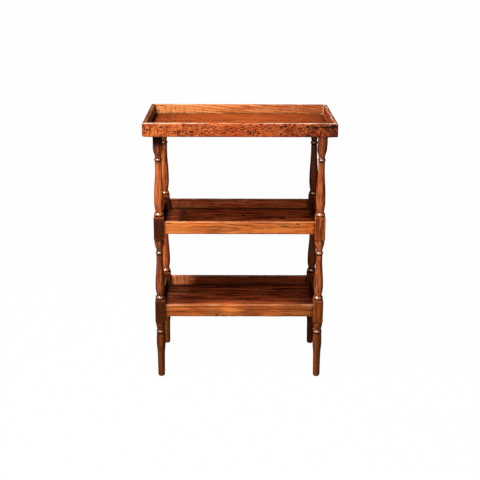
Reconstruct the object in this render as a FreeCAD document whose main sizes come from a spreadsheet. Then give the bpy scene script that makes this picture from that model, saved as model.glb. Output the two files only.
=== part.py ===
import FreeCAD, Part
import math
import os
import re

import Sketcher

# A wooden side table with three tiers. X runs along its width, Y from front to back and Z up.
# The origin is on the floor, under the middle of the table. All sizes are in millimetres.

SIZES = {
    # The tray on top: its plan, its rails and its floor of three boards
    "tray_width": 600.0,
    "tray_depth": 400.0,
    "tray_rail_thickness": 14.0,
    "tray_lip": 32.0,
    "tray_board_thickness": 6.5,
    "tray_rail_below_floor": 3.5,
    "tray_groove_depth": 6.0,
    "tray_shoulder": 2.0,
    "tray_middle_board_width": 124.0,
    "tray_outer_round": 5.0,
    "tray_inner_round": 2.0,
    "tray_lower_round": 3.5,
    "tray_corner_round": 5.0,
    # The cleats under the tray that the legs enter, and the screws through them
    "cleat_thickness": 10.0,
    "cleat_margin": 8.0,
    "cleat_gap": 0.5,
    "screw_length": 14.0,
    "screw_tip_length": 4.0,
    "screw_radius": 1.75,
    "screw_head_radius": 3.5,
    "screw_clearance": 0.15,
    # The legs: square stock, set in from the tray's sides and from its front and back
    "leg_width": 32.5,
    "leg_edge_round": 1.5,
    "leg_side_inset": 27.75,
    "leg_front_inset": 36.5,
    "foot_length": 191.0,
    "lower_spindle_length": 202.5,
    "upper_spindle_length": 228.0,
    "leg_top_height": 29.0,
    "block_rise": 16.5,
    "block_drop": 20.0,
    "leg_tenon_radius": 9.0,
    "leg_tenon_end_gap": 0.5,
    # The turnings: a bead and a vase above each block, a ring and a goblet below the next block or the tray
    "bead_height": 13.5,
    "bead_radius": 15.6,
    "vase_foot_radius": 11.7,
    "vase_foot_length": 4.5,
    "vase_swell_radius": 15.0,
    "vase_neck_radius": 10.4,
    "vase_neck_length": 14.0,
    "lower_swell_rise": 46.0,
    "upper_swell_rise": 52.5,
    "ring_height": 10.0,
    "ring_radius": 12.3,
    "goblet_height": 31.0,
    "goblet_foot_radius": 9.8,
    "goblet_radius": 15.4,
    "collar_height": 9.0,
    # The foot: a short goblet, a thick bead, a swell and a straight shin with a round toe
    "foot_goblet_height": 19.5,
    "foot_goblet_radius": 12.2,
    "foot_bead_height": 11.0,
    "foot_bead_radius": 14.5,
    "foot_groove_radius": 13.3,
    "foot_swell_drop": 28.5,
    "foot_swell_radius": 14.7,
    "calf_length": 53.0,
    "ankle_radius": 11.85,
    "toe_radius": 11.2,
    "toe_rise": 6.0,
    "toe_inset": 2.7,
    # The two shelves: rails tenoned into the legs, and three boards tongued into a rebate under the rails
    "shelf_rail_thickness": 14.0,
    "shelf_rail_recess": 5.0,
    "shelf_lip": 33.0,
    "shelf_board_thickness": 6.0,
    "shelf_rebate_depth": 7.0,
    "shelf_shoulder": 1.5,
    "shelf_middle_board_width": 96.0,
    "shelf_edge_round": 1.5,
    "tenon_thickness": 7.0,
    "tenon_shoulder": 7.0,
    "tenon_lift": 1.0,
    "tenon_web": 2.0,
    "joint_clearance": 0.2,
    "board_gap": 0.5,
    "shoulder_gap": 0.25,
    # The panel pins that hold the shelf boards up in their rebate
    "pin_length": 16.0,
    "pin_radius": 0.8,
    "pin_head_radius": 1.7,
    "pin_head_thickness": 1.0,
    "pin_clearance": 0.1,
    "pin_pitch": 150.0,
}

# Places worked out from the sizes, written as formulas of the sheet's names.
HALF_LEG = "leg_width / 2"
LEG_X = f"(tray_width / 2 - leg_side_inset - {HALF_LEG})"
LEG_Y = f"(tray_depth / 2 - leg_front_inset - {HALF_LEG})"
SHELF_RAIL_HEIGHT = "(shelf_lip + shelf_board_thickness)"
BLOCK_HEIGHT = f"(block_drop + {SHELF_RAIL_HEIGHT} + block_rise)"
LOWER_BLOCK = "foot_length"
MIDDLE_BLOCK = f"({LOWER_BLOCK} + {BLOCK_HEIGHT} + lower_spindle_length)"
LEG_TOP = f"({MIDDLE_BLOCK} + {BLOCK_HEIGHT} + upper_spindle_length)"
LEG_SHOULDER = f"({LEG_TOP} + leg_top_height)"
SHELF_BOTTOMS = {
    "middle_shelf": f"({MIDDLE_BLOCK} + block_drop)",
    "lower_shelf": f"({LOWER_BLOCK} + block_drop)",
}
SHELF_OUTER_X = f"({LEG_X} + {HALF_LEG} - shelf_rail_recess)"
SHELF_OUTER_Y = f"({LEG_Y} + {HALF_LEG} - shelf_rail_recess)"
RAIL_TO_LEG_AXIS = f"({HALF_LEG} - shelf_rail_recess - shelf_rail_thickness / 2)"
TENON_LENGTH = f"({HALF_LEG} + {RAIL_TO_LEG_AXIS} - tenon_thickness / 2 - tenon_web)"
TENON_BOTTOM = "(shelf_board_thickness + tenon_lift)"
TENON_TOP = f"({SHELF_RAIL_HEIGHT} - tenon_shoulder)"
SHELF_INNER_X = f"({SHELF_OUTER_X} - shelf_rail_thickness)"
SHELF_INNER_Y = f"({SHELF_OUTER_Y} - shelf_rail_thickness)"
SHELF_TONGUE = "(shelf_board_thickness - shelf_shoulder)"
NOTCH_X = f"({LEG_X} - {HALF_LEG} - board_gap)"
NOTCH_Y = f"({LEG_Y} - {HALF_LEG} - board_gap)"
PIN_INSET = "(shelf_rail_thickness - shelf_rebate_depth / 2)"
END_PIN_Y = f"((shelf_middle_board_width / 2 + {NOTCH_Y}) / 2)"
TRAY_FLOOR_BOTTOM = f"({LEG_SHOULDER} + cleat_thickness)"
TRAY_RAIL_HEIGHT = "(tray_rail_below_floor + tray_board_thickness + tray_lip)"
TRAY_RAIL_BOTTOM = f"({TRAY_FLOOR_BOTTOM} - tray_rail_below_floor)"
TRAY_INNER_X = "(tray_width / 2 - tray_rail_thickness)"
TRAY_INNER_Y = "(tray_depth / 2 - tray_rail_thickness)"
TRAY_TONGUE = "(tray_board_thickness - tray_shoulder)"
SCREW_Y = f"((tray_middle_board_width / 2 + {LEG_Y}) / 2)"
SCREW_RADIUS_OPEN = "screw_radius + screw_clearance"

# Each side of the table with the turn that brings the front piece there.
SIDES = {"front": 0, "right": 90, "back": 180, "left": 270}

doc = FreeCAD.newDocument("TieredSideTable")
sheet = doc.addObject("Spreadsheet::Sheet", "Sizes")
for row, (alias, size) in enumerate(SIZES.items(), start=1):
    sheet.set(f"A{row}", str(size))
    sheet.setAlias(f"A{row}", alias)
doc.recompute()

pieces = []


def formula(text):
    """Give every size named in the text its sheet, so that an expression can read it."""
    names = "|".join(SIZES)
    return re.sub(rf"\b({names})\b", r"Sizes.\1", text)


def value(text):
    """Number that a formula has at the sheet's present sizes."""
    return float(sheet.evalExpression(formula(text)))


def place(piece, x, y, z, turn=0):
    """Put a piece at three formulas, turned about the vertical."""
    piece.Placement = FreeCAD.Placement(FreeCAD.Vector(), FreeCAD.Rotation(FreeCAD.Vector(0, 0, 1), turn))
    for axis, text in zip("xyz", (x, y, z)):
        piece.setExpression(f"Placement.Base.{axis}", formula(text))


def new_body(label):
    """Body of one wooden piece, listed for writing under its label."""
    body = doc.addObject("PartDesign::Body", label)
    body.Label = label
    pieces.append(body)
    return body


def new_sketch(body, name, role, lift="0"):
    """Sketch on one of the body's own planes, raised along that plane's normal."""
    sketch = body.newObject("Sketcher::SketchObject", name)
    plane = next(item for item in body.Origin.OriginFeatures if item.Role == role)
    sketch.AttachmentSupport = [(plane, "")]
    sketch.MapMode = "FlatFace"
    sketch.setExpression("AttachmentOffset.Base.z", formula(lift))
    return sketch


def hold(sketch, kind, index, point, text):
    """Hold one coordinate of a sketch point at a formula."""
    number = sketch.addConstraint(Sketcher.Constraint(kind, -1, 1, index, point, value(text)))
    sketch.setExpression(f"Constraints[{number}]", formula(text))


def arc_centre(start, end, bend):
    """Centre of an arc that is level with, or plumb over, a given height or place."""
    rule, text = bend
    along, across = (0, 1) if rule == "level" else (1, 0)
    known = value(text)
    rise = (end[across] - known) ** 2 - (start[across] - known) ** 2
    found = (end[along] ** 2 - start[along] ** 2 + rise) / (2 * (end[along] - start[along]))
    return (found, known) if rule == "level" else (known, found)


def add_arc(sketch, start, end, bend):
    """Add the arc from start to end, and return its index and the numbers of its two ends."""
    centre = arc_centre(start, end, bend)
    first = math.atan2(start[1] - centre[1], start[0] - centre[0])
    last = math.atan2(end[1] - centre[1], end[0] - centre[0])
    turns_left = math.sin(last - first) > 0
    circle = Part.Circle(FreeCAD.Vector(*centre, 0), FreeCAD.Vector(0, 0, 1), math.dist(start, centre))
    angles = (first, last) if turns_left else (last, first)
    index = sketch.addGeometry(Part.ArcOfCircle(circle, *angles), False)
    hold(sketch, "DistanceY" if bend[0] == "level" else "DistanceX", index, 3, bend[1])
    return (index, 1, 2) if turns_left else (index, 2, 1)


def outline(sketch, corners):
    """Closed outline through corners (x, y) or (x, y, bend): a bend rounds the stretch that ends there."""
    points = [(value(corner[0]), value(corner[1])) for corner in corners]
    stretches = []
    for number, corner in enumerate(corners):
        start, end = points[number - 1], points[number]
        if len(corner) == 3:
            stretches.append(add_arc(sketch, start, end, corner[2]))
        else:
            line = Part.LineSegment(FreeCAD.Vector(*start, 0), FreeCAD.Vector(*end, 0))
            stretches.append((sketch.addGeometry(line, False), 1, 2))
    for number, corner in enumerate(corners):
        index, first, last = stretches[number]
        before, _, before_last = stretches[number - 1]
        sketch.addConstraint(Sketcher.Constraint("Coincident", index, first, before, before_last))
        hold(sketch, "DistanceX", index, last, corner[0])
        hold(sketch, "DistanceY", index, last, corner[1])


def rectangle(sketch, left, right, low, high):
    """Rectangle between two places and two heights."""
    outline(sketch, [(left, low), (right, low), (right, high), (left, high)])


def circles(sketch, centres, radius):
    """Circles of one radius at a list of centres."""
    for x, y in centres:
        middle = FreeCAD.Vector(value(x), value(y), 0)
        index = sketch.addGeometry(Part.Circle(middle, FreeCAD.Vector(0, 0, 1), value(radius)), False)
        hold(sketch, "DistanceX", index, 3, x)
        hold(sketch, "DistanceY", index, 3, y)
        number = sketch.addConstraint(Sketcher.Constraint("Radius", index, value(radius)))
        sketch.setExpression(f"Constraints[{number}]", formula(radius))


def pad(body, name, sketch, length, both_ways=False):
    """Solid run of a sketch, to one side of its plane or evenly to both."""
    feature = body.newObject("PartDesign::Pad", name)
    feature.Profile = sketch
    feature.Midplane = both_ways
    feature.setExpression("Length", formula(length))


def pocket(body, name, sketch, depth, along_normal):
    """Cut of a sketch, along its plane's normal or against it."""
    feature = body.newObject("PartDesign::Pocket", name)
    feature.Profile = sketch
    feature.Reversed = along_normal
    feature.setExpression("Length", formula(depth))


def turned(body, name, corners):
    """Turned stretch about the vertical axis, from an outline of radius and height."""
    sketch = new_sketch(body, f"{name}_profile", "XZ_Plane")
    outline(sketch, corners)
    feature = body.newObject("PartDesign::Revolution", name)
    feature.Profile = sketch
    feature.ReferenceAxis = (sketch, ["V_Axis"])
    feature.Angle = 360


def double_curve(low_radius, low, high_radius, high):
    """Corners of an S-shaped rise whose two ends stand upright and whose arcs meet half-way."""
    middle = (f"({low_radius} + {high_radius}) / 2", f"({low} + {high}) / 2", ("level", low))
    return [middle, (high_radius, high, ("level", high))]


def bead(radius, low, high, root_above):
    """Corners of a half-round bead between two heights, up to the root above it."""
    middle = f"({low} + {high}) / 2"
    return [(radius, middle, ("level", middle)), (root_above, high, ("level", middle))]


def spindle(body, name, bottom, length, swell_rise):
    """Turned spindle between two blocks: bead, vase, ring and goblet, from the bottom up."""
    top = f"({bottom} + {length})"
    bead_top = f"({bottom} + bead_height)"
    swell = f"({bottom} + {swell_rise})"
    goblet_top = f"({top} - collar_height)"
    ring_top = f"({goblet_top} - goblet_height)"
    ring_bottom = f"({ring_top} - ring_height)"
    corners = [("0", bottom), ("vase_foot_radius", bottom)]
    corners += bead("bead_radius", bottom, bead_top, "vase_foot_radius")
    corners.append(("vase_foot_radius", f"{bead_top} + vase_foot_length"))
    corners.append(("vase_swell_radius", swell, ("level", swell)))
    neck = f"({ring_bottom} - vase_neck_length)"
    corners += double_curve("vase_swell_radius", swell, "vase_neck_radius", neck)
    corners.append(("vase_neck_radius", ring_bottom))
    corners += bead("ring_radius", ring_bottom, ring_top, "goblet_foot_radius")
    corners += double_curve("goblet_foot_radius", ring_top, "goblet_radius", goblet_top)
    corners += [("goblet_radius", top), ("0", top)]
    turned(body, name, corners)


def foot(body):
    """Turned foot under the lower block: toe, shin, swell, thick bead and short goblet, from below."""
    goblet_top = "(foot_length - collar_height)"
    bead_top = f"({goblet_top} - foot_goblet_height)"
    bead_bottom = f"({bead_top} - foot_bead_height)"
    swell = f"({bead_bottom} - foot_swell_drop)"
    ankle = f"({swell} - calf_length)"
    corners = [
        ("0", "0"),
        ("toe_radius - toe_inset", "0"),
        ("toe_radius", "toe_rise", ("level", "toe_rise")),
        ("ankle_radius", ankle),
    ]
    corners += double_curve("ankle_radius", ankle, "foot_swell_radius", swell)
    corners.append(("foot_groove_radius", bead_bottom, ("level", swell)))
    corners += bead("foot_bead_radius", bead_bottom, bead_top, "foot_goblet_radius")
    corners += double_curve("foot_goblet_radius", bead_top, "goblet_radius", goblet_top)
    corners += [("goblet_radius", "foot_length"), ("0", "foot_length")]
    turned(body, "foot", corners)


def square_block(body, name, bottom, height):
    """Square block of the leg's full stock, with its long edges rounded."""
    sketch = new_sketch(body, f"{name}_plan", "XY_Plane", bottom)
    flat = f"({HALF_LEG} - leg_edge_round)"
    corners = []
    for sign_x, sign_y in ((1, 1), (-1, 1), (-1, -1), (1, -1)):
        side = (f"{sign_x} * {HALF_LEG}", f"{sign_y} * {flat}")
        end = (f"{sign_x} * {flat}", f"{sign_y} * {HALF_LEG}")
        first, last = (side, end) if sign_x == sign_y else (end, side)
        corners += [first, (*last, ("level", f"{sign_y} * {flat}"))]
    outline(sketch, corners)
    pad(body, name, sketch, height)


def leg(label, x, y, turn):
    """Leg of one length of wood: foot, spindles, two blocks, a round top with a tenon, and four mortises."""
    body = new_body(label)
    foot(body)
    for tier, bottom in (("lower", LOWER_BLOCK), ("upper", MIDDLE_BLOCK)):
        block_top = f"({bottom} + {BLOCK_HEIGHT})"
        square_block(body, f"block_under_{tier}_spindle", bottom, BLOCK_HEIGHT)
        spindle(body, f"{tier}_spindle", block_top, f"{tier}_spindle_length", f"{tier}_swell_rise")
    collar = "goblet_radius"
    turned(body, "leg_top", [("0", LEG_TOP), (collar, LEG_TOP), (collar, LEG_SHOULDER), ("0", LEG_SHOULDER)])
    tenon = new_sketch(body, "tenon_plan", "XY_Plane", LEG_SHOULDER)
    circles(tenon, [("0", "0")], "leg_tenon_radius")
    pad(body, "tenon", tenon, "cleat_thickness - leg_tenon_end_gap")
    half_width = "(tenon_thickness / 2 + joint_clearance)"
    for name, role, face, along_normal in (
        ("front_mortises", "YZ_Plane", HALF_LEG, False),
        ("side_mortises", "XZ_Plane", f"-{HALF_LEG}", True),
    ):
        sketch = new_sketch(body, f"{name}_outline", role, face)
        for bottom in SHELF_BOTTOMS.values():
            rectangle(
                sketch,
                f"-{RAIL_TO_LEG_AXIS} - {half_width}",
                f"-{RAIL_TO_LEG_AXIS} + {half_width}",
                f"{bottom} + {TENON_BOTTOM} - joint_clearance",
                f"{bottom} + {TENON_TOP} + joint_clearance",
            )
        pocket(body, name, sketch, f"{TENON_LENGTH} + joint_clearance", along_normal)
    place(body, x, y, "0", turn)


def place_on_side(body, side, half_width, half_depth, bottom):
    """Put a rail on one side of a frame, with its outer face on that side."""
    x, y = {
        "front": ("0", f"-{half_depth}"),
        "right": (half_width, "0"),
        "back": ("0", half_depth),
        "left": (f"-{half_width}", "0"),
    }[side]
    place(body, x, y, bottom, SIDES[side])


def shelf_rail(shelf, side):
    """Shelf rail with rounded top edges, a rebate for the tongues, end tenons and holes for pins."""
    body = new_body(f"{shelf}_{side}_rail")
    long_side = side in ("front", "back")
    span = f"2 * ({LEG_X if long_side else LEG_Y} - {HALF_LEG})"
    thick, high = "shelf_rail_thickness", SHELF_RAIL_HEIGHT
    step = f"({thick} - shelf_rebate_depth)"
    round_level = f"({high} - shelf_edge_round)"
    section = new_sketch(body, "rail_section", "YZ_Plane")
    outline(section, [
        ("0", "0"),
        (step, "0"),
        (step, SHELF_TONGUE),
        (thick, SHELF_TONGUE),
        (thick, round_level),
        (f"{thick} - shelf_edge_round", high, ("level", round_level)),
        ("shelf_edge_round", high),
        ("0", round_level, ("level", round_level)),
    ])
    pad(body, "rail", section, span, both_ways=True)
    tenon = new_sketch(body, "tenon_section", "YZ_Plane")
    cheek = f"({thick} - tenon_thickness) / 2"
    rectangle(tenon, cheek, f"{thick} - {cheek}", TENON_BOTTOM, TENON_TOP)
    pad(body, "tenons", tenon, f"{span} + 2 * {TENON_LENGTH}", both_ways=True)
    holes = new_sketch(body, "pin_holes_plan", "XY_Plane")
    pitch = "pin_pitch" if long_side else END_PIN_Y
    centres = [(f"{place_number} * {pitch}", PIN_INSET) for place_number in (-1, 0, 1)]
    circles(holes, centres, "pin_radius + pin_clearance")
    pocket(body, "pin_holes", holes, "pin_length + pin_clearance", along_normal=True)
    place_on_side(body, side, SHELF_OUTER_X, SHELF_OUTER_Y, SHELF_BOTTOMS[shelf])


def pin_places():
    """Centres of a shelf's pins: along the front and back rails, and at both ends of each board."""
    line_y = f"({SHELF_OUTER_Y} - {PIN_INSET})"
    line_x = f"({SHELF_OUTER_X} - {PIN_INSET})"
    places = []
    for sign in (-1, 1):
        for step in (-1, 0, 1):
            places.append((f"{step} * pin_pitch", f"{sign} * {line_y}"))
            places.append((f"{sign} * {line_x}", f"{step} * {END_PIN_Y}"))
    return places


def within(places, low, high):
    """Those places whose Y lies between two formulas."""
    return [spot for spot in places if value(low) < value(spot[1]) < value(high)]


def shelf_board(shelf, name):
    """Tongued board of a shelf floor with holes for pins, notched round the legs if it is an outer one."""
    body = new_body(f"{shelf}_floor_board_{name}")
    seam = "shelf_middle_board_width / 2"
    for part_name, reach, height in (
        ("tongue", "shelf_rebate_depth - board_gap", SHELF_TONGUE),
        ("field", "-shoulder_gap", "shelf_board_thickness"),
    ):
        end, edge = f"({SHELF_INNER_X} + {reach})", f"({SHELF_INNER_Y} + {reach})"
        plan = new_sketch(body, f"{part_name}_plan", "XY_Plane")
        if name == "middle":
            rectangle(plan, f"-{end}", end, f"-{seam}", seam)
        else:
            outline(plan, [
                (f"-{end}", seam),
                (end, seam),
                (end, NOTCH_Y),
                (NOTCH_X, NOTCH_Y),
                (NOTCH_X, edge),
                (f"-{NOTCH_X}", edge),
                (f"-{NOTCH_X}", NOTCH_Y),
                (f"-{end}", NOTCH_Y),
            ])
        pad(body, part_name, plan, height)
    low, high = (f"-{seam}", seam) if name == "middle" else (seam, SHELF_OUTER_Y)
    holes = within(pin_places(), low, high)
    shanks = new_sketch(body, "pin_holes_plan", "XY_Plane")
    circles(shanks, holes, "pin_radius + pin_clearance")
    pocket(body, "pin_holes", shanks, "shelf_board_thickness", along_normal=True)
    heads = new_sketch(body, "pin_heads_plan", "XY_Plane")
    circles(heads, holes, "pin_head_radius + pin_clearance")
    pocket(body, "pin_head_recesses", heads, "pin_head_thickness", along_normal=True)
    place(body, "0", "0", SHELF_BOTTOMS[shelf], 180 if name == "front" else 0)


def tray_rail(side):
    """Tray rail with rounded edges and a groove for the floor's tongues, mitred at both ends."""
    body = new_body(f"tray_{side}_rail")
    length = "tray_width" if side in ("front", "back") else "tray_depth"
    thick, high = "tray_rail_thickness", TRAY_RAIL_HEIGHT
    floor_low = "tray_rail_below_floor"
    floor_high = f"(tray_rail_below_floor + {TRAY_TONGUE})"
    outer_level = f"({high} - tray_outer_round)"
    inner_level = f"({high} - tray_inner_round)"
    section = new_sketch(body, "rail_section", "YZ_Plane")
    outline(section, [
        ("tray_lower_round", "0", ("level", "tray_lower_round")),
        (thick, "0"),
        (thick, floor_low),
        (f"{thick} - tray_groove_depth", floor_low),
        (f"{thick} - tray_groove_depth", floor_high),
        (thick, floor_high),
        (thick, inner_level),
        (f"{thick} - tray_inner_round", high, ("level", inner_level)),
        ("tray_outer_round", high),
        ("0", outer_level, ("level", outer_level)),
        ("0", "tray_lower_round"),
    ])
    pad(body, "rail", section, length, both_ways=True)
    mitres = new_sketch(body, "mitres_plan", "XY_Plane")
    tangent = f"({length} / 2 - tray_corner_round)"
    for sign in (1, -1):
        outline(mitres, [
            (f"{sign} * {tangent}", f"-{thick}"),
            (f"{sign} * {tangent}", "0"),
            (
                f"{sign} * ({tangent} + tray_corner_round * sqrt(0.5))",
                "tray_corner_round * (1 - sqrt(0.5))",
                ("plumb", f"{sign} * {tangent}"),
            ),
            (f"{sign} * ({length} / 2 - 2 * {thick})", f"2 * {thick}"),
            (f"{sign} * ({length} / 2 + {thick})", f"2 * {thick}"),
            (f"{sign} * ({length} / 2 + {thick})", f"-{thick}"),
        ])
    pocket(body, "mitres", mitres, high, along_normal=True)
    place_on_side(body, side, "tray_width / 2", "tray_depth / 2", TRAY_RAIL_BOTTOM)


def tray_board(name):
    """Tongued board of the tray floor, with two blind holes in its underside for the cleats' screws."""
    body = new_body(f"tray_floor_board_{name}")
    seam = "tray_middle_board_width / 2"
    for part_name, reach, height in (
        ("tongue", "tray_groove_depth - board_gap", TRAY_TONGUE),
        ("field", "-shoulder_gap", "tray_board_thickness"),
    ):
        end, edge = f"({TRAY_INNER_X} + {reach})", f"({TRAY_INNER_Y} + {reach})"
        low, high = (f"-{seam}", seam) if name == "middle" else (seam, edge)
        plan = new_sketch(body, f"{part_name}_plan", "XY_Plane")
        rectangle(plan, f"-{end}", end, low, high)
        pad(body, part_name, plan, height)
    line = "0" if name == "middle" else SCREW_Y
    holes = new_sketch(body, "screw_holes_plan", "XY_Plane")
    circles(holes, [(f"-{LEG_X}", line), (LEG_X, line)], SCREW_RADIUS_OPEN)
    depth = "screw_length - cleat_thickness + screw_clearance"
    pocket(body, "screw_holes", holes, depth, along_normal=True)
    place(body, "0", "0", TRAY_FLOOR_BOTTOM, 180 if name == "front" else 0)


def cleat(side, sign):
    """Cleat across the underside of the tray floor, bored for two legs and drilled for the screws."""
    body = new_body(f"tray_{side}_cleat")
    inner = f"{sign} * ({LEG_X} - {HALF_LEG} - cleat_margin)"
    outer = f"{sign} * (tray_width / 2 - tray_rail_thickness - cleat_gap)"
    half_length = f"({LEG_Y} + {HALF_LEG})"
    line = f"{sign} * {LEG_X}"
    plan = new_sketch(body, "cleat_plan", "XY_Plane")
    rectangle(plan, inner, outer, f"-{half_length}", half_length)
    pad(body, "cleat", plan, "cleat_thickness")
    bores = new_sketch(body, "leg_bores_plan", "XY_Plane")
    circles(bores, [(line, f"-{LEG_Y}"), (line, LEG_Y)], "leg_tenon_radius + joint_clearance")
    pocket(body, "leg_bores", bores, "cleat_thickness", along_normal=True)
    holes = new_sketch(body, "screw_holes_plan", "XY_Plane")
    circles(holes, [(line, f"{step} * {SCREW_Y}") for step in (-1, 0, 1)], SCREW_RADIUS_OPEN)
    pocket(body, "screw_holes", holes, "cleat_thickness", along_normal=True)
    place(body, "0", "0", LEG_SHOULDER)


def primitive(kind, name, where, **sizes):
    """Round solid at a place, with its sizes bound to formulas."""
    solid = doc.addObject(kind, name)
    for prop, text in sizes.items():
        solid.setExpression(prop, formula(text))
    place(solid, *where)
    return solid


def joined(name, solids):
    """One solid from several that meet."""
    whole = doc.addObject("Part::MultiFuse", name)
    whole.Shapes = solids
    return whole


def group(label, solids):
    """Group of alike fasteners, each a solid of its own, written as one piece."""
    fasteners = doc.addObject("Part::Compound", label)
    fasteners.Label = label
    fasteners.Links = solids
    pieces.append(fasteners)


def wood_screw(name, x, y):
    """Round-headed wood screw that points up, with its head against the underside of a cleat."""
    shank_length = "screw_length - screw_tip_length"
    tip_bottom = f"{LEG_SHOULDER} + {shank_length}"
    head = primitive("Part::Sphere", f"{name}_head", (x, y, LEG_SHOULDER), Radius="screw_head_radius")
    head.Angle1 = -90
    head.Angle2 = 0
    shank_sizes = {"Radius": "screw_radius", "Height": shank_length}
    shank = primitive("Part::Cylinder", f"{name}_shank", (x, y, LEG_SHOULDER), **shank_sizes)
    tip_sizes = {"Radius1": "screw_radius", "Radius2": "0", "Height": "screw_tip_length"}
    tip = primitive("Part::Cone", f"{name}_tip", (x, y, tip_bottom), **tip_sizes)
    return joined(name, [head, shank, tip])


def panel_pin(name, x, y, z):
    """Flat-headed pin that points up, with its head flush with the underside of a board."""
    head_sizes = {"Radius": "pin_head_radius", "Height": "pin_head_thickness"}
    head = primitive("Part::Cylinder", f"{name}_head", (x, y, z), **head_sizes)
    shank_sizes = {"Radius": "pin_radius", "Height": "pin_length"}
    shank = primitive("Part::Cylinder", f"{name}_shank", (x, y, z), **shank_sizes)
    return joined(name, [head, shank])


leg("front_left_leg", f"-{LEG_X}", f"-{LEG_Y}", SIDES["front"])
leg("front_right_leg", LEG_X, f"-{LEG_Y}", SIDES["right"])
leg("rear_right_leg", LEG_X, LEG_Y, SIDES["back"])
leg("rear_left_leg", f"-{LEG_X}", LEG_Y, SIDES["left"])

for shelf_name, shelf_bottom in SHELF_BOTTOMS.items():
    for side_name in SIDES:
        shelf_rail(shelf_name, side_name)
    for board_name in ("front", "middle", "back"):
        shelf_board(shelf_name, board_name)
    pins = []
    for number, (pin_x, pin_y) in enumerate(pin_places(), start=1):
        pins.append(panel_pin(f"{shelf_name}_pin_{number}", pin_x, pin_y, shelf_bottom))
    group(f"{shelf_name}_floor_pins", pins)

for side_name in SIDES:
    tray_rail(side_name)
for board_name in ("front", "middle", "back"):
    tray_board(board_name)
cleat("left", -1)
cleat("right", 1)
screws = []
for sign in (-1, 1):
    for step in (-1, 0, 1):
        screws.append(wood_screw(f"screw_{len(screws) + 1}", f"{sign} * {LEG_X}", f"{step} * {SCREW_Y}"))
group("tray_cleat_screws", screws)

doc.recompute()

for item in doc.Objects:
    if "Invalid" in item.State or "Error" in item.State:
        raise RuntimeError(f"{item.Label} could not be built")
    if item.TypeId == "PartDesign::Pocket" and item.Shape.Volume >= item.BaseFeature.Shape.Volume:
        raise RuntimeError(f"{item.Label} of {item.getParentGeoFeatureGroup().Label} removes nothing")
for piece in pieces:
    if piece.Shape.isNull() or not piece.Shape.isValid():
        raise RuntimeError(f"{piece.Label} has no valid solid")

os.makedirs("parts", exist_ok=True)
for piece in pieces:
    piece.Shape.exportStep(f"parts/{piece.Label}.step")
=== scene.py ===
import logging
import math
from dataclasses import dataclass, field, replace
from enum import Enum
from typing import Callable

import bmesh
import bpy
import numpy as np
from mathutils import Matrix, Vector


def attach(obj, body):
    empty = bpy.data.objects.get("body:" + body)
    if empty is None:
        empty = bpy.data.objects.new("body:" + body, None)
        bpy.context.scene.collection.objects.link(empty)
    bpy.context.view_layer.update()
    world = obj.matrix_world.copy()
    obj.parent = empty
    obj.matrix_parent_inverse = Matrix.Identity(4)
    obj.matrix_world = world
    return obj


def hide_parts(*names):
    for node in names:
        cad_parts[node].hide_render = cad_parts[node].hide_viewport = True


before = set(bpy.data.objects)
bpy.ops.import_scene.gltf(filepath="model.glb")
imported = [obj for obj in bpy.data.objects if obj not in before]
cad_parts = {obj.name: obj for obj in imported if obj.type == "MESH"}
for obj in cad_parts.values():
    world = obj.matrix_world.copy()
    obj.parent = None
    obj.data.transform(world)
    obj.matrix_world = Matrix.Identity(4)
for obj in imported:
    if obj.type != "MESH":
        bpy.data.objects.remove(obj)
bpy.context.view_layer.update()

# Looks of a wooden side table with three tiers.
# Sizes are in millimetres, X runs along the width, Y to the back and Z up.

LOG = logging.getLogger("side_table")
MM = 0.001
BODY = "root"
WHITE = (1.0, 1.0, 1.0, 1.0)
SHARP_ANGLE = math.radians(38)
CLOSE = 0.01

Colour = tuple[float, float, float]
Paint = Colour | bpy.types.NodeSocket
Profile = tuple[tuple[float, float], ...]
NOWHERE: Profile = ((0.0, 0.0),)


def operator(operation: str, swapped: bool = False) -> Callable[["Value", "Value | float"], "Value"]:
    """Make an operator of values.

    Args:
        operation: Name of the Math node's operation.
        swapped: Whether the other term comes first.

    Returns:
        The operator, to be set in the class.
    """
    def apply(self: "Value", other: "Value | float") -> "Value":
        """Add the operation's node."""
        return self.math(operation, *((other, self) if swapped else (self, other)))

    return apply


class Value:
    """One value of a shader. Its operators add Math nodes."""

    def __init__(self, graph: "Graph", socket: bpy.types.NodeSocket) -> None:
        """Wrap an output socket of a graph."""
        self.graph = graph
        self.socket = socket

    def math(self, operation: str, *terms: "Value | float") -> "Value":
        """Add one Math node with values or numbers in its sockets."""
        return self.graph.value("ShaderNodeMath", {"operation": operation}, dict(enumerate(terms)))

    __add__ = __radd__ = operator("ADD")
    __sub__ = operator("SUBTRACT")
    __rsub__ = operator("SUBTRACT", swapped=True)
    __mul__ = __rmul__ = operator("MULTIPLY")
    __truediv__ = operator("DIVIDE")
    __rtruediv__ = operator("DIVIDE", swapped=True)
    __pow__ = operator("POWER")
    or_more = operator("MAXIMUM")

    def __abs__(self) -> "Value":
        """Size without its sign."""
        return self.math("ABSOLUTE", self)

    def fraction(self) -> "Value":
        """Part after the decimal point."""
        return self.math("FRACT", self)

    def rise(self, low: float, high: float) -> "Value":
        """Smooth step from 0 at low to 1 at high, also where low is the larger."""
        sockets = {"Value": self, "From Min": low, "From Max": high}
        return self.graph.value("ShaderNodeMapRange", {"interpolation_type": "SMOOTHSTEP"}, sockets)


class Grain(Enum):
    """Run of a piece's grain, as the order of axes that puts it first."""

    WIDTH = "XYZ"
    DEPTH = "YXZ"
    UPRIGHT = "ZXY"


class Cut(Enum):
    """How a rail lay in its log: flat, for a flame figure, or upright, for straight lines."""

    FLAT = "flat"
    UPRIGHT = "upright"


class Row(Enum):
    """Place of a board in a floor, as the nodes' names have it."""

    FRONT = "front"
    MIDDLE = "middle"
    BACK = "back"


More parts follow.
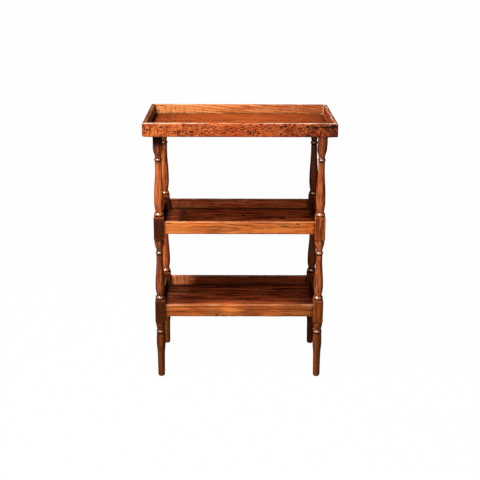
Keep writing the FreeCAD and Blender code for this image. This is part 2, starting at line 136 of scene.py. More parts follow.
@dataclass(frozen=True)
class Spots:
    """Soft noise: spots to a millimetre along and across the grain, its finer layers and their strength."""

    along: float
    across: float
    layers: float = 2.0
    strength: float = 0.5
    over: float | None = None


class Graph:
    """Node tree of one material."""

    def __init__(self, label: str) -> None:
        """Start an empty tree in a new material.

        Args:
            label: Name of the material.
        """
        self.material = bpy.data.materials.new(label)
        self.material.use_nodes = True
        self.tree = self.material.node_tree
        self.tree.nodes.clear()

    def node(self, kind: str, settings: dict | None = None, sockets: dict | None = None) -> bpy.types.Node:
        """Add a node.

        Args:
            kind: The node's type.
            settings: Its properties, set first.
            sockets: Numbers, colours, values or sockets for its inputs, by name or number.

        Returns:
            The new node.
        """
        node = self.tree.nodes.new(kind)
        for name, setting in (settings or {}).items():
            setattr(node, name, setting)
        for key, given in (sockets or {}).items():
            given = given.socket if isinstance(given, Value) else given
            if isinstance(given, bpy.types.NodeSocket):
                self.tree.links.new(given, node.inputs[key])
            else:
                node.inputs[key].default_value = given
        return node

    def value(self, kind: str, settings: dict | None = None, sockets: dict | None = None,
              output: int | str = 0) -> Value:
        """Add a node and wrap one of its outputs as a value."""
        return Value(self, self.node(kind, settings, sockets).outputs[output])

    def mark(self, name: str) -> Value:
        """Value that a mesh holds at its points under a name, or 0 where it holds none."""
        return self.value("ShaderNodeAttribute", {"attribute_name": name}, output="Fac")

    def axes(self, grain: Grain) -> list[Value]:
        """Place on the piece in millimetres: along the grain, then the two ways across it.

        Args:
            grain: Run of the piece's grain.

        Returns:
            The three values.
        """
        place = self.node("ShaderNodeTexCoord").outputs["Object"]
        split = self.node("ShaderNodeSeparateXYZ", sockets={0: place})
        return [Value(self, split.outputs[axis]) / MM for axis in grain.value]

    def noise(self, place: list[Value], spots: Spots) -> Value:
        """Soft noise from 0 to 1.

        Args:
            place: Place along the grain, and the two ways across it.
            spots: Size and layers of the noise.

        Returns:
            The noise.
        """
        scales = (spots.along, spots.across, spots.over or spots.across)
        scaled = dict(enumerate(value * scale for value, scale in zip(place, scales)))
        spot = self.node("ShaderNodeCombineXYZ", sockets=scaled).outputs[0]
        sockets = {"Vector": spot, "Scale": 1.0, "Detail": spots.layers, "Roughness": spots.strength}
        return self.value("ShaderNodeTexNoise", None, sockets)

    def mix(self, share: Value, first: Paint, second: Paint) -> bpy.types.NodeSocket:
        """Mix two colours.

        Args:
            share: How much of the second shows.
            first: Colour at share 0.
            second: Colour at share 1.

        Returns:
            Socket of the mixed colour.
        """
        sockets = {0: share, 6: opaque(first), 7: opaque(second)}
        return self.node("ShaderNodeMix", {"data_type": "RGBA", "clamp_factor": True}, sockets).outputs[2]

    def relief(self, height: Value, strength: float, distance: float) -> bpy.types.NodeSocket:
        """Direction of a surface that is bumped by a height, over a distance in millimetres."""
        sockets = {"Strength": strength, "Distance": distance * MM, "Height": height}
        return self.node("ShaderNodeBump", None, sockets).outputs[0]

    def finish(self, kind: str, sockets: dict) -> bpy.types.Material:
        """Lead a shader of a kind to the surface and return the material.

        Args:
            kind: The shader node's type.
            sockets: What its inputs take.

        Returns:
            The material.
        """
        shader = self.node(kind, None, sockets)
        self.node("ShaderNodeOutputMaterial", sockets={"Surface": shader.outputs[0]})
        return self.material


def opaque(colour: Paint) -> tuple | bpy.types.NodeSocket:
    """Colour with full alpha, or a socket as it is."""
    return (*colour, 1.0) if isinstance(colour, tuple) else colour


@dataclass(frozen=True)
class Stock:
    """How a piece was cut from its log."""

    grain: Grain
    heart: tuple[float, float]
    drift: float
    shift: float
    lean: float = 0.0


@dataclass(frozen=True)
class WoodFinish:
    """Stained and waxed wood: its colours, its figure and its shine."""

    label: str
    pale: Colour
    body: Colour
    deep: Colour
    worn_and_highlight: Colour
    # Near-black of holes, cracks, specks and deep stain, also used for painted shade.
    shade_black: Colour = (0.016, 0.007, 0.004)
    aged: Colour = (0.185, 0.054, 0.003)
    shade_black_share: float = 0.6
    ring_width: float = 6.0
    ring_share: float = 0.55
    wander: float = 14.0
    fibre_share: float = 0.5
    fibre_fineness: float = 0.75
    streak_share: float = 0.3
    streak_size: tuple[float, float] = (45.0, 5.0)
    speck_share: float = 0.0
    pore_share: float = 0.45
    crack_share: float = 0.0
    wear_and_highlight_share: float = 0.8
    painted_shade_share: float = 0.75
    stain_and_shading_share: float = 0.9
    saw_share: float = 0.0
    saw_pitch: float = 4.2
    blush: float = 0.0
    roughness: float = 0.42
    shine: float = 0.3
    specular: float = 0.05
    coat_ior: float = 1.8
    coat_roughness: float = 0.28
    relief: float = 1.0

    MARKS = ("knot", "wear_and_highlight", "painted_shade", "stain_and_shading", "polish", "sawn", "age")
    WANDER = Spots(0.0045, 0.014)
    PORES = Spots(0.07, 1.9, 1.0)
    PATCHES = Spots(0.009, 0.035, 3.0)
    RAGS = Spots(0.11, 0.3, 3.0)
    CRACKS = Spots(0.011, 0.28, 2.0, 0.4)
    DOTS = Spots(0.13, 0.34, 2.0, 0.6)
    TEARS = Spots(0.22, 0.45, 3.0)
    FIBRE_RUN = 0.022
    RELIEF_DEPTH = 0.5

    def material(self, label: str, stock: Stock) -> bpy.types.Material:
        """Make the material of one piece.

        Args:
            label: Name of the piece.
            stock: How the piece was cut.

        Returns:
            The material.
        """
        graph = Graph(f"{self.label}_{label}")
        along, across, over = graph.axes(stock.grain)
        over = over + along * stock.lean
        place = [along + stock.shift, across, over]
        knot, wear_and_highlight, painted_shade, stain_and_shading, polish, sawn, age = (graph.mark(name) for name in self.MARKS)

        fine, (length, width) = self.fibre_fineness, self.streak_size
        fibre = graph.noise(place, Spots(self.FIBRE_RUN * fine, fine, 4.0, 0.6))
        streak = graph.noise(place, Spots(1 / length, 1 / width, 3.0, 0.6))
        saw = graph.noise(place, Spots(1 / self.saw_pitch, 0.012, 2.0, 0.7, over=0.03)).rise(0.46, 0.62) * sawn
        pores = graph.noise(place, self.PORES).rise(0.62, 0.74)
        patch = graph.noise(place, self.PATCHES)
        ragged = graph.noise(place, self.RAGS) - 0.5
        torn = graph.noise(place, self.TEARS) - 0.5
        wander = graph.noise(place, self.WANDER) - 0.5

        aside = across + (wander * self.wander - stock.heart[0])
        away = over + (along * stock.drift - stock.heart[1])
        radius = (aside * aside + away * away) ** 0.5
        ring = (radius / self.ring_width + fibre * 0.35 + knot * 0.5).fraction()
        late = ring.rise(0.25, 0.9) * ring.rise(1.0, 0.94)
        crack = abs(graph.noise(place, self.CRACKS) - 0.5).rise(0.016, 0.004) * patch.rise(0.42, 0.56)
        speck = (graph.noise(place, self.DOTS) + stain_and_shading * 0.16).rise(0.60, 0.70)
        hole = (knot + torn * (knot.rise(0.0, 0.2) * 1.3)).rise(0.3, 0.52)
        rim = knot.rise(0.0, 0.2) * (1.0 - hole)
        scuffed = (wear_and_highlight + ragged * 0.6).rise(0.35, 0.8)

        layers = (
            ((streak + stain_and_shading * 0.08).rise(0.48, 0.64) * self.streak_share, self.deep),
            (streak.rise(0.47, 0.33) * self.streak_share, self.pale),
            (late * self.ring_share, self.deep),
            (fibre.rise(0.48, 0.8) * self.fibre_share, self.deep),
            (fibre.rise(0.46, 0.24) * (0.6 * self.fibre_share), self.pale),
            (pores * self.pore_share, self.deep),
            # Below 0 the stain turns the wood pale: bleached wood, and at the lower shelf's back rail a painted
            # pool of light.
            (stain_and_shading.rise(0.0, -1.0) * 0.8, self.pale),
            (saw * self.saw_share, self.deep),
            (rim * 0.35, self.pale),
            (stain_and_shading * (0.7 + fibre * 0.6) * self.stain_and_shading_share, self.deep),
            (stain_and_shading.rise(0.7, 1.0) * self.shade_black_share, self.shade_black),
            (age * (0.5 + fibre), self.aged),
            (speck * self.speck_share, self.shade_black),
            (crack * self.crack_share, self.shade_black),
            (hole * 0.92, self.shade_black),
            # Painted shade in hollows, corners and under edges, in near-black.
            ((painted_shade + painted_shade * ragged) * self.painted_shade_share, self.shade_black),
            # Pale rubbed wood, which also paints highlights on the beads, the rails' top faces and a floor
            # seam.
            (scuffed * self.wear_and_highlight_share, self.worn_and_highlight),
        )
        colour = graph.mix((patch + stain_and_shading * self.blush).rise(0.3, 0.7), self.pale, self.body)
        for share, paint in layers:
            colour = graph.mix(share, colour, paint)

        height = fibre * 0.10 - late * 0.05 - pores * 0.10 - crack * (0.5 * self.crack_share) - hole * 0.5
        return graph.finish("ShaderNodeBsdfPrincipled", {
            "Base Color": colour,
            "Roughness": self.roughness + fibre * 0.12 + painted_shade * 0.2 + hole * 0.25 - scuffed * 0.06,
            "Specular IOR Level": self.specular,
            "Coat Weight": (wear_and_highlight * self.shine).or_more(polish) * (1.0 - hole) * (1.0 - painted_shade),
            "Coat Roughness": self.coat_roughness,
            "Coat IOR": self.coat_ior,
            "Normal": graph.relief(height, self.relief, self.RELIEF_DEPTH),
        })


@dataclass(frozen=True)
class SteelFinish:
    """Dull bare steel of small fasteners."""

    label: str = "dull_steel"
    bright: Colour = (0.42, 0.41, 0.39)
    dull: Colour = (0.16, 0.12, 0.09)
    tarnish: Spots = Spots(0.9, 0.9, 3.0)
    brush: Spots = Spots(4.0, 4.0, over=0.6)

    def material(self) -> bpy.types.Material:
        """Make the material, with spots of tarnish.

        Returns:
            The material.
        """
        graph = Graph(self.label)
        place = graph.axes(Grain.WIDTH)
        tarnish = graph.noise(place, self.tarnish).rise(0.4, 0.66)
        brush = graph.noise(place, self.brush)
        return graph.finish("ShaderNodeBsdfPrincipled", {
            "Base Color": graph.mix(tarnish, self.bright, self.dull),
            "Metallic": 1.0 - tarnish * 0.5,
            "Roughness": 0.36 + tarnish * 0.3 + brush * 0.1,
            "Normal": graph.relief(brush, 0.4, 0.1),
        })


TRAY_RAIL = WoodFinish(
    "scarred_wood", pale=(1.0, 0.25, 0.055), body=(0.68, 0.095, 0.021), deep=(0.12, 0.016, 0.006),
    worn_and_highlight=(0.98, 0.79, 0.57), ring_width=4.5, ring_share=0.32, fibre_share=0.65, pore_share=0.6, crack_share=1.0,
    wear_and_highlight_share=0.9, saw_share=0.8, speck_share=0.95, streak_share=0.85, streak_size=(11.0, 3.6),
    stain_and_shading_share=0.35, blush=0.75,
)
TRAY_LEFT_RAIL = replace(
    TRAY_RAIL, label="dark_scarred_wood", pale=(0.56, 0.23, 0.085), body=(0.26, 0.085, 0.03), wear_and_highlight_share=0.3,
    speck_share=0.3, shine=0.0, stain_and_shading_share=0.9, streak_share=0.9, streak_size=(80.0, 2.4), blush=0.0,
)
TRAY_BACK_RAIL = replace(
    TRAY_RAIL, label="pale_scarred_wood", pale=(1.0, 0.40, 0.125), body=(0.80, 0.21, 0.05),
    deep=(0.26, 0.05, 0.013), ring_width=9.0, ring_share=0.6, crack_share=0.5, speck_share=0.45, saw_share=0.6,
    streak_share=0.6, streak_size=(50.0, 4.0), stain_and_shading_share=0.9, blush=0.0, painted_shade_share=0.6,
)
TRAY_FLOOR = WoodFinish(
    "tray_floor_wood", pale=(0.62, 0.128, 0.027), body=(0.43, 0.08, 0.019), deep=(0.14, 0.025, 0.007),
    worn_and_highlight=(0.62, 0.2, 0.07), ring_width=9.0, ring_share=0.4, specular=0.0, roughness=0.55, speck_share=0.15,
    saw_share=0.5, streak_share=0.5, streak_size=(80.0, 26.0),
)
SHELF_RAIL = WoodFinish(
    "shelf_rail_wood", pale=(0.80, 0.20, 0.04), body=(0.56, 0.113, 0.022), deep=(0.12, 0.021, 0.006),
    worn_and_highlight=(0.84, 0.41, 0.22), ring_width=4.5, wear_and_highlight_share=0.5, speck_share=0.2, streak_share=0.55,
    streak_size=(60.0, 5.0), painted_shade_share=0.9,
)
PALE_SHELF_RAIL = replace(
    SHELF_RAIL, label="pale_shelf_rail_wood", pale=(1.0, 0.29, 0.062), body=(0.78, 0.165, 0.028),
)
BACK_SHELF_RAIL = replace(
    SHELF_RAIL, label="red_shelf_rail_wood", pale=(0.9, 0.26, 0.085), body=(0.74, 0.112, 0.022), saw_share=0.6,
    saw_pitch=7.5,
)
SHELF_FLOOR = WoodFinish(
    "shelf_floor_wood", pale=(1.0, 0.22, 0.063), body=(0.66, 0.116, 0.036), deep=(0.065, 0.014, 0.006),
    worn_and_highlight=(0.7, 0.36, 0.2), ring_width=7.0, ring_share=0.4, specular=0.0, roughness=0.5, painted_shade_share=0.95,
    speck_share=0.55, streak_share=0.95, streak_size=(120.0, 13.0),
)
LEG_WOOD = WoodFinish(
    "turned_wood", pale=(0.92, 0.23, 0.05), body=(0.56, 0.11, 0.024), deep=(0.115, 0.023, 0.0075),
    worn_and_highlight=(0.80, 0.42, 0.22), ring_width=11.0, ring_share=0.35, wander=30.0, fibre_fineness=0.42,
    fibre_share=0.42, wear_and_highlight_share=0.6, painted_shade_share=0.95, roughness=0.4, shine=0.0, specular=0.0, coat_ior=5.0,
    coat_roughness=0.24, speck_share=0.35, streak_share=0.85, streak_size=(60.0, 6.0), stain_and_shading_share=1.0,
    shade_black_share=0.35,
)
CLEAT_WOOD = WoodFinish(
    "sawn_wood", pale=(0.30, 0.14, 0.06), body=(0.20, 0.085, 0.035), deep=(0.08, 0.03, 0.014),
    worn_and_highlight=(0.4, 0.22, 0.1), roughness=0.7, shine=0.0, relief=1.4,
)


class Ripple:
    """Soft unevenness of hand work, the same at each run."""

    WAVES = 6
    LEVEL = 2.5

    def __init__(self, seed: int, length: float) -> None:
        """Draw the waves for a seed, about one length long each.

        Args:
            seed: Number that the draws start from.
            length: Usual length of a wave.
        """
        draw = np.random.default_rng(seed)
        ways = draw.normal(size=(self.WAVES, 3))
        ways /= np.linalg.norm(ways, axis=1)[:, None]
        self.ways = ways * (2 * math.pi / length * draw.uniform(0.6, 1.7, self.WAVES))[:, None]
        self.starts = draw.uniform(0, 2 * math.pi, self.WAVES)

    def at(self, x: np.ndarray, y: np.ndarray | float = 0.0, z: np.ndarray | float = 0.0) -> np.ndarray:
        """Height of the unevenness at places, mostly from -1 to 1."""
        waves = zip(self.ways, self.starts)
        return sum(np.sin(way[0] * x + way[1] * y + way[2] * z + start) for way, start in waves) / self.LEVEL


@dataclass
class Form:
    """Mesh of one piece under construction, with marks that its material reads at each point."""

    points: np.ndarray
    faces: list
    marks: dict[str, np.ndarray]

    def make(self, node: str, slot: str, material: bpy.types.Material) -> None:
        """Make the piece and let it stand for its node.

        Args:
            node: Name of the node that it replaces.
            slot: The record's material slot; not used.
            material: The piece's material.
        """
        mesh = bpy.data.meshes.new(f"{node}_wood")
        mesh.from_pydata((self.points * MM).tolist(), [], self.faces)
        for name, values in self.marks.items():
            layer = mesh.attributes.new(name, "FLOAT", "POINT")
            layer.data.foreach_set("value", np.ascontiguousarray(values, np.float32).ravel())
        shell = bmesh.new()
        shell.from_mesh(mesh)
        bmesh.ops.recalc_face_normals(shell, faces=shell.faces)
        shell.to_mesh(mesh)
        shell.free()
        mesh.shade_smooth()
        mesh.set_sharp_from_angle(angle=SHARP_ANGLE)
        mesh.materials.append(material)
        piece = bpy.data.objects.new(f"{node}_wood", mesh)
        bpy.context.scene.collection.objects.link(piece)
        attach(piece, BODY)
        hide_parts(node)
        LOG.info("%s: %d points", piece.name, len(self.points))


def tube_faces(rings: int, around: int) -> list:
    """Faces of a tube of closed rings, with a cap at each end.

    Args:
        rings: Number of rings.
        around: Number of points on each.

    Returns:
        The faces, as lists of point numbers.
    """
    start = np.arange(rings - 1)[:, None] * around
    here, after = np.arange(around), (np.arange(around) + 1) % around
    quads = np.stack([start + here, start + after, start + after + around, start + here + around], axis=-1)
    caps = [list(range(around))[::-1], list(range((rings - 1) * around, rings * around))]
    return quads.reshape(-1, 4).tolist() + caps


def near(distance: np.ndarray, reach: float) -> np.ndarray:
    """1 at a distance of 0, fading to 0 over a reach."""
    return np.exp(-((distance / reach) ** 2))


def level(profile: Profile, places: np.ndarray) -> np.ndarray:
    """Height of a profile at places along it."""
    return np.interp(places, *zip(*profile))


def on_line(places: np.ndarray, line: float) -> np.ndarray:
    """Whether places lie on a grid line."""
    return np.abs(places - line) < CLOSE


class Side(Enum):
    """Side of the table, as the nodes' names have it."""

    FRONT = "front"
    RIGHT = "right"
    BACK = "back"
    LEFT = "left"

    @property
    def long(self) -> bool:
        """Whether pieces on this side run along the width."""
        return self in (Side.FRONT, Side.BACK)

    def place(self, points: np.ndarray, half_width: float, half_depth: float, bottom: float) -> np.ndarray:
        """Move points of a front piece to this side.

        Args:
            points: Points with X along the piece, Y behind its outer face and Z above its bottom.
            half_width: Outer face of the side pieces.
            half_depth: Outer face of the front and back pieces.
            bottom: Height of the pieces' bottom.

        Returns:
            The points in the table's frame.
        """
        x, y, z = points.T
        reach = half_depth if self.long else half_width
        turned = {
            Side.FRONT: (x, y - reach),
            Side.RIGHT: (reach - y, x),
            Side.BACK: (-x, reach - y),
            Side.LEFT: (y - reach, -x),
        }[self]
        return np.stack([*turned, z + bottom], axis=1)


@dataclass(frozen=True)
class Corner:
    """Corner of a rail's section: depth behind the outer face, height, rounding, and how much it is rubbed
    pale, which on a top edge also paints a highlight.
    """

    depth: float
    height: float
    radius: float = 0.0
    wear_and_highlight: float = 0.0

    @property
    def place(self) -> np.ndarray:
        """Depth and height together."""
        return np.array([self.depth, self.height])


@dataclass(frozen=True)
class Scar:
    """Knot, worm hole or dark patch: place along the piece and across it, half sizes, depth, face, strength."""

    x: float
    z: float
    long: float
    high: float
    pit: float = 0.6
    inner: bool = False
    share: float = 1.0

    RIM = 1.5

    def gap(self, x: np.ndarray, z: np.ndarray) -> np.ndarray:
        """Distance of places from the scar's middle, in its half sizes."""
        return np.hypot((x - self.x) / self.long, (z - self.z) / self.high)

    def mark(self, gap: np.ndarray) -> np.ndarray:
        """How much the scar shows at such distances."""
        return self.share * np.clip(self.RIM - gap, 0, self.RIM) / self.RIM


@dataclass
class Section:
    """Points round a rail's section, with their outward directions and how rubbed and pale they are."""

    places: np.ndarray
    outward: np.ndarray
    wear_and_highlight: np.ndarray

    ROUND_STEPS = 5
    WEAR_REACH = (1.6, 0.45)

    @classmethod
    def sample(cls, corners: list[Corner], spacing: float) -> "Section":
        """Set points round a section of right-angled corners.

        Args:
            corners: The corners in order.
            spacing: Largest gap between points on a flat.

        Returns:
            The section.
        """
        arcs = []
        for number, corner in enumerate(corners):
            here, ends = corner.place, (corners[number - 1], corners[(number + 1) % len(corners)])
            to_back, to_next = ((end.place - here) / np.linalg.norm(end.place - here) for end in ends)
            if corner.radius:
                turns = np.linspace(0, math.pi / 2, cls.ROUND_STEPS + 1)
                ways = -np.outer(np.cos(turns), to_next) - np.outer(np.sin(turns), to_back)
                arcs.append((here + (to_back + to_next) * corner.radius + ways * corner.radius, ways))
            else:
                arcs.append((here[None], -(to_back + to_next)[None] / math.sqrt(2)))
        places, outward = [], []
        for number, (arc, ways) in enumerate(arcs):
            last = arcs[number - 1][0][-1]
            gap = arc[0] - last
            length = np.linalg.norm(gap)
            flats = max(1, math.ceil(length / spacing))
            for step in range(1, flats):
                places.append(last + gap * step / flats)
                outward.append(np.array([gap[1], -gap[0]]) / length)
            places.extend(arc)
            outward.extend(ways)
        places, outward = np.array(places), np.array(outward)
        wear_and_highlight = np.zeros(len(places))
        least, share = cls.WEAR_REACH
        for corner in corners:
            gap = np.hypot(*(places - corner.place).T)
            wear_and_highlight = np.maximum(wear_and_highlight, corner.wear_and_highlight * near(gap, least + share * corner.radius))
        return cls(places, outward, wear_and_highlight)


@dataclass
class Rail:
    """Rail with rubbed edges: a section run along a length, square or mitred at its ends."""

    node: str
    slot: str
    side: Side
    length: float
    corners: list[Corner]
    seed: int
    floor_line: float
    finish: WoodFinish
    scars: tuple[Scar, ...] = ()
    spacing: float = 3.2
    mitred: bool = False
    rounds: tuple[float, float] = (5.0, 5.0)
    low_rounds: tuple[float, float] = (4.0, 4.0)
    nicks: int = 6
    stain_and_shading: Profile = NOWHERE
    rubbing: float = 0.12
    cut: Cut = Cut.FLAT
    lean: float = 0.0
    pale_corner_line: Profile = NOWHERE
    painted_edge_shade: float = 0.0
    top_wear_and_highlight: Profile = ((0.0, 0.2),)
    sawn: Profile = NOWHERE

    HALVINGS = 40
    MITRE_GAP = 0.1
    ROUND_DEPTH = 7.0
    CROWDING = 0.6
    UNEVEN = 0.10
    NICK_REACH = 3.5
    FLOOR_SHADE_REACH = 4.0
    MITRE_SHADE_REACH = 3.0
    END_SHADE_REACH = 6.0
    EDGE_SHADE_REACH = 4.0

    def _drawn_in(self, x: np.ndarray, rounds: tuple[float, float]) -> np.ndarray:
        """How far rounds at the two ends of a mitred rail draw its surface in at places along it.

        Args:
            x: Places along the rail.
            rounds: Radii of the rounds at its two ends.

        Returns:
            The distances, 0 for a rail with square ends.
        """
        if not self.mitred:
            return np.zeros_like(x)
        reach = np.where(x < 0, *rounds)
        over = np.clip(np.abs(x) - (self.length / 2 - reach), 0, reach)
        return reach - np.sqrt(reach**2 - over**2)

    def _reach(self, depth: np.ndarray, fade: np.ndarray, end: int) -> np.ndarray:
        """Half length of the rail at each depth towards an end, where a mitred end is found by halving.

        Args:
            depth: Depths behind the outer face.
            fade: Share of the end's rounding at each depth.
            end: -1 or 1.

        Returns:
            The half lengths.
        """
        half = self.length / 2
        if not self.mitred:
            return np.full_like(depth, half)
        low, high = np.zeros_like(depth), np.full_like(depth, half)
        for _ in range(self.HALVINGS):
            middle = (low + high) / 2
            inside = middle + depth + self._drawn_in(end * middle, self.rounds) * fade < half
            low, high = np.where(inside, middle, low), np.where(inside, high, middle)
        return low - self.MITRE_GAP

    def build(self) -> Form:
        """Run the section along the rail, rub its edges, paint highlights and shade on it, and press its scars
        in.

        Returns:
            The rail's form, lying as a front piece.
        """
        section = Section.sample(self.corners, self.spacing)
        depth, height = section.places.T
        thick, top = depth.max(), height.max()
        fade = np.clip(1 - depth / self.ROUND_DEPTH, 0, 1)
        count = max(8, round(self.length / self.spacing))
        stations = np.sin(np.linspace(-0.5, 0.5, count) * math.pi * self.CROWDING)[:, None]
        stations /= math.sin(self.CROWDING / 2 * math.pi)
        x = stations * np.where(stations < 0, self._reach(depth, fade, -1), self._reach(depth, fade, 1))
        y = depth + self._drawn_in(x, self.rounds) * fade
        share = height / top
        z = height - self._drawn_in(x, self.rounds) * share**4
        z += self._drawn_in(x, self.low_rounds) * (1 - share) ** 4

        draw = np.random.default_rng(self.seed)
        edge = section.wear_and_highlight
        rub = np.clip(0.35 + 0.55 * Ripple(self.seed + 1, 60.0).at(x, y * 3, z * 3), 0, 1.2)
        push = self.UNEVEN * Ripple(self.seed + 2, 90.0).at(x, y, z) + edge * self.rubbing * rub
        for _ in range(self.nicks):
            spot, width = draw.uniform(-0.48, 0.48) * self.length, draw.uniform(1.5, 5.0)
            where = near(z - draw.choice([0.0, top]), self.NICK_REACH)
            push = push + edge * near(x - spot, width) * where * draw.uniform(0.3, 0.9)
        knot = np.zeros_like(x)
        for scar in self.scars:
            face = depth > thick - 1 if scar.inner else depth < 1
            gap = scar.gap(x, z)
            knot = np.maximum(knot, scar.mark(gap) * face)
            push = push + scar.pit * near(gap, 0.8) * face

        # Pale top face and rubbed edges: wear, and a painted highlight where the top faces the light.
        lid = np.clip((height - top + 1.6) / 1.2, 0, 1)
        wear_and_highlight = np.maximum(edge * (0.55 + 0.45 * rub), level(self.top_wear_and_highlight, x) * lid * (0.6 + 0.4 * rub))
        inner = depth > thick - 0.5
        # Painted shade in the inner corner on the floor, in the mitre corners, at square ends against the legs
        # and along the bottom edge.
        recess_shade = near(np.maximum(z - self.floor_line, 0), self.FLOOR_SHADE_REACH) * inner
        if self.mitred:
            recess_shade = np.maximum(recess_shade, near(np.abs(x) - (self.length / 2 - thick), self.MITRE_SHADE_REACH) * inner)
        else:
            ends = 0.8 * near(np.abs(x) - self.length / 2, self.END_SHADE_REACH)
            recess_shade = np.maximum.reduce([recess_shade, ends, 0.5 * near(z, 2.0)])
        # A pale line along the inner corner and the floor line, where the profile says; no painted shade there.
        pale_corner = level(self.pale_corner_line, x)
        # Painted shade on the outer top edge, where the side falls away from the light.
        shade_black = near(np.hypot(depth, height - top), self.EDGE_SHADE_REACH) * self.painted_edge_shade
        wear_and_highlight = np.maximum(wear_and_highlight, 0.9 * near(recess_shade - 1, 0.4) * pale_corner) * (1 - shade_black)
        painted_shade = np.maximum(0.95 * recess_shade * (1 - pale_corner), shade_black)

        y -= push * section.outward[:, 0]
        z -= push * section.outward[:, 1]
        points = np.stack([x, y, z], axis=-1).reshape(-1, 3)
        return Form(points, tube_faces(*x.shape), {"wear_and_highlight": wear_and_highlight, "knot": knot, "painted_shade": painted_shade})

    def dress(self, frame_size: tuple[float, float, float]) -> None:
        """Build the rail on its side and give it its finish.

        Args:
            frame_size: Outer half width, outer half depth and bottom height of the frame of rails.
        """
        form = self.build()
        form.points = self.side.place(form.points, *frame_size)
        long, bottom = self.side.long, frame_size[2]
        place = form.points[:, 0 if long else 1]
        form.marks |= {"stain_and_shading": level(self.stain_and_shading, place), "sawn": level(self.sawn, place)}
        draw = np.random.default_rng(self.seed + 3)
        offset = frame_size[1] if long else frame_size[0]
        sign = 1 if self.side in (Side.RIGHT, Side.BACK) else -1
        aside, above = draw.uniform(25, 70), draw.uniform(-15, 55)
        heart = (sign * (offset + aside), bottom + above)
        if self.cut is Cut.UPRIGHT:
            heart = (sign * (offset - above), bottom - 2 * aside)
        grain = Grain.WIDTH if long else Grain.DEPTH
        stock = Stock(grain, heart, draw.uniform(-0.03, 0.03), draw.uniform(0, 5000), self.lean)
        form.make(self.node, self.slot, self.finish.material(self.node, stock))


def grid_shell(xs: np.ndarray, ys: np.ndarray, zs: np.ndarray, filled: np.ndarray) -> tuple[np.ndarray, list]:
    """Outer faces of the filled cells of a grid.

    Args:
        xs: Grid lines along X.
        ys: Grid lines along Y.
        zs: Grid lines along Z.
        filled: Which cells are solid.

    Returns:
        Points, and faces with their corners in outward order.
    """
    padded = np.pad(filled, 1)
    shape = (len(xs), len(ys), len(zs))
    quads = []
    for axis in range(3):
        first, second = (way for way in range(3) if way != axis)
        for step in (1, -1):
            base = np.argwhere(padded & ~np.roll(padded, -step, axis)) - 1
            base[:, axis] += step == 1
            ring = [(0, 0), (1, 0), (1, 1), (0, 1)]
            if (step == -1) != (axis == 1):
                ring.reverse()
            corners = []
            for on_first, on_second in ring:
                corner = base.copy()
                corner[:, first] += on_first
                corner[:, second] += on_second
                corners.append(np.ravel_multi_index(corner.T, shape))
            quads.append(np.stack(corners, axis=1))
    used, numbers = np.unique(np.concatenate(quads), return_inverse=True)
    lines = zip((xs, ys, zs), np.unravel_index(used, shape))
    return np.stack([line[spots] for line, spots in lines], axis=1), numbers.reshape(-1, 4).tolist()


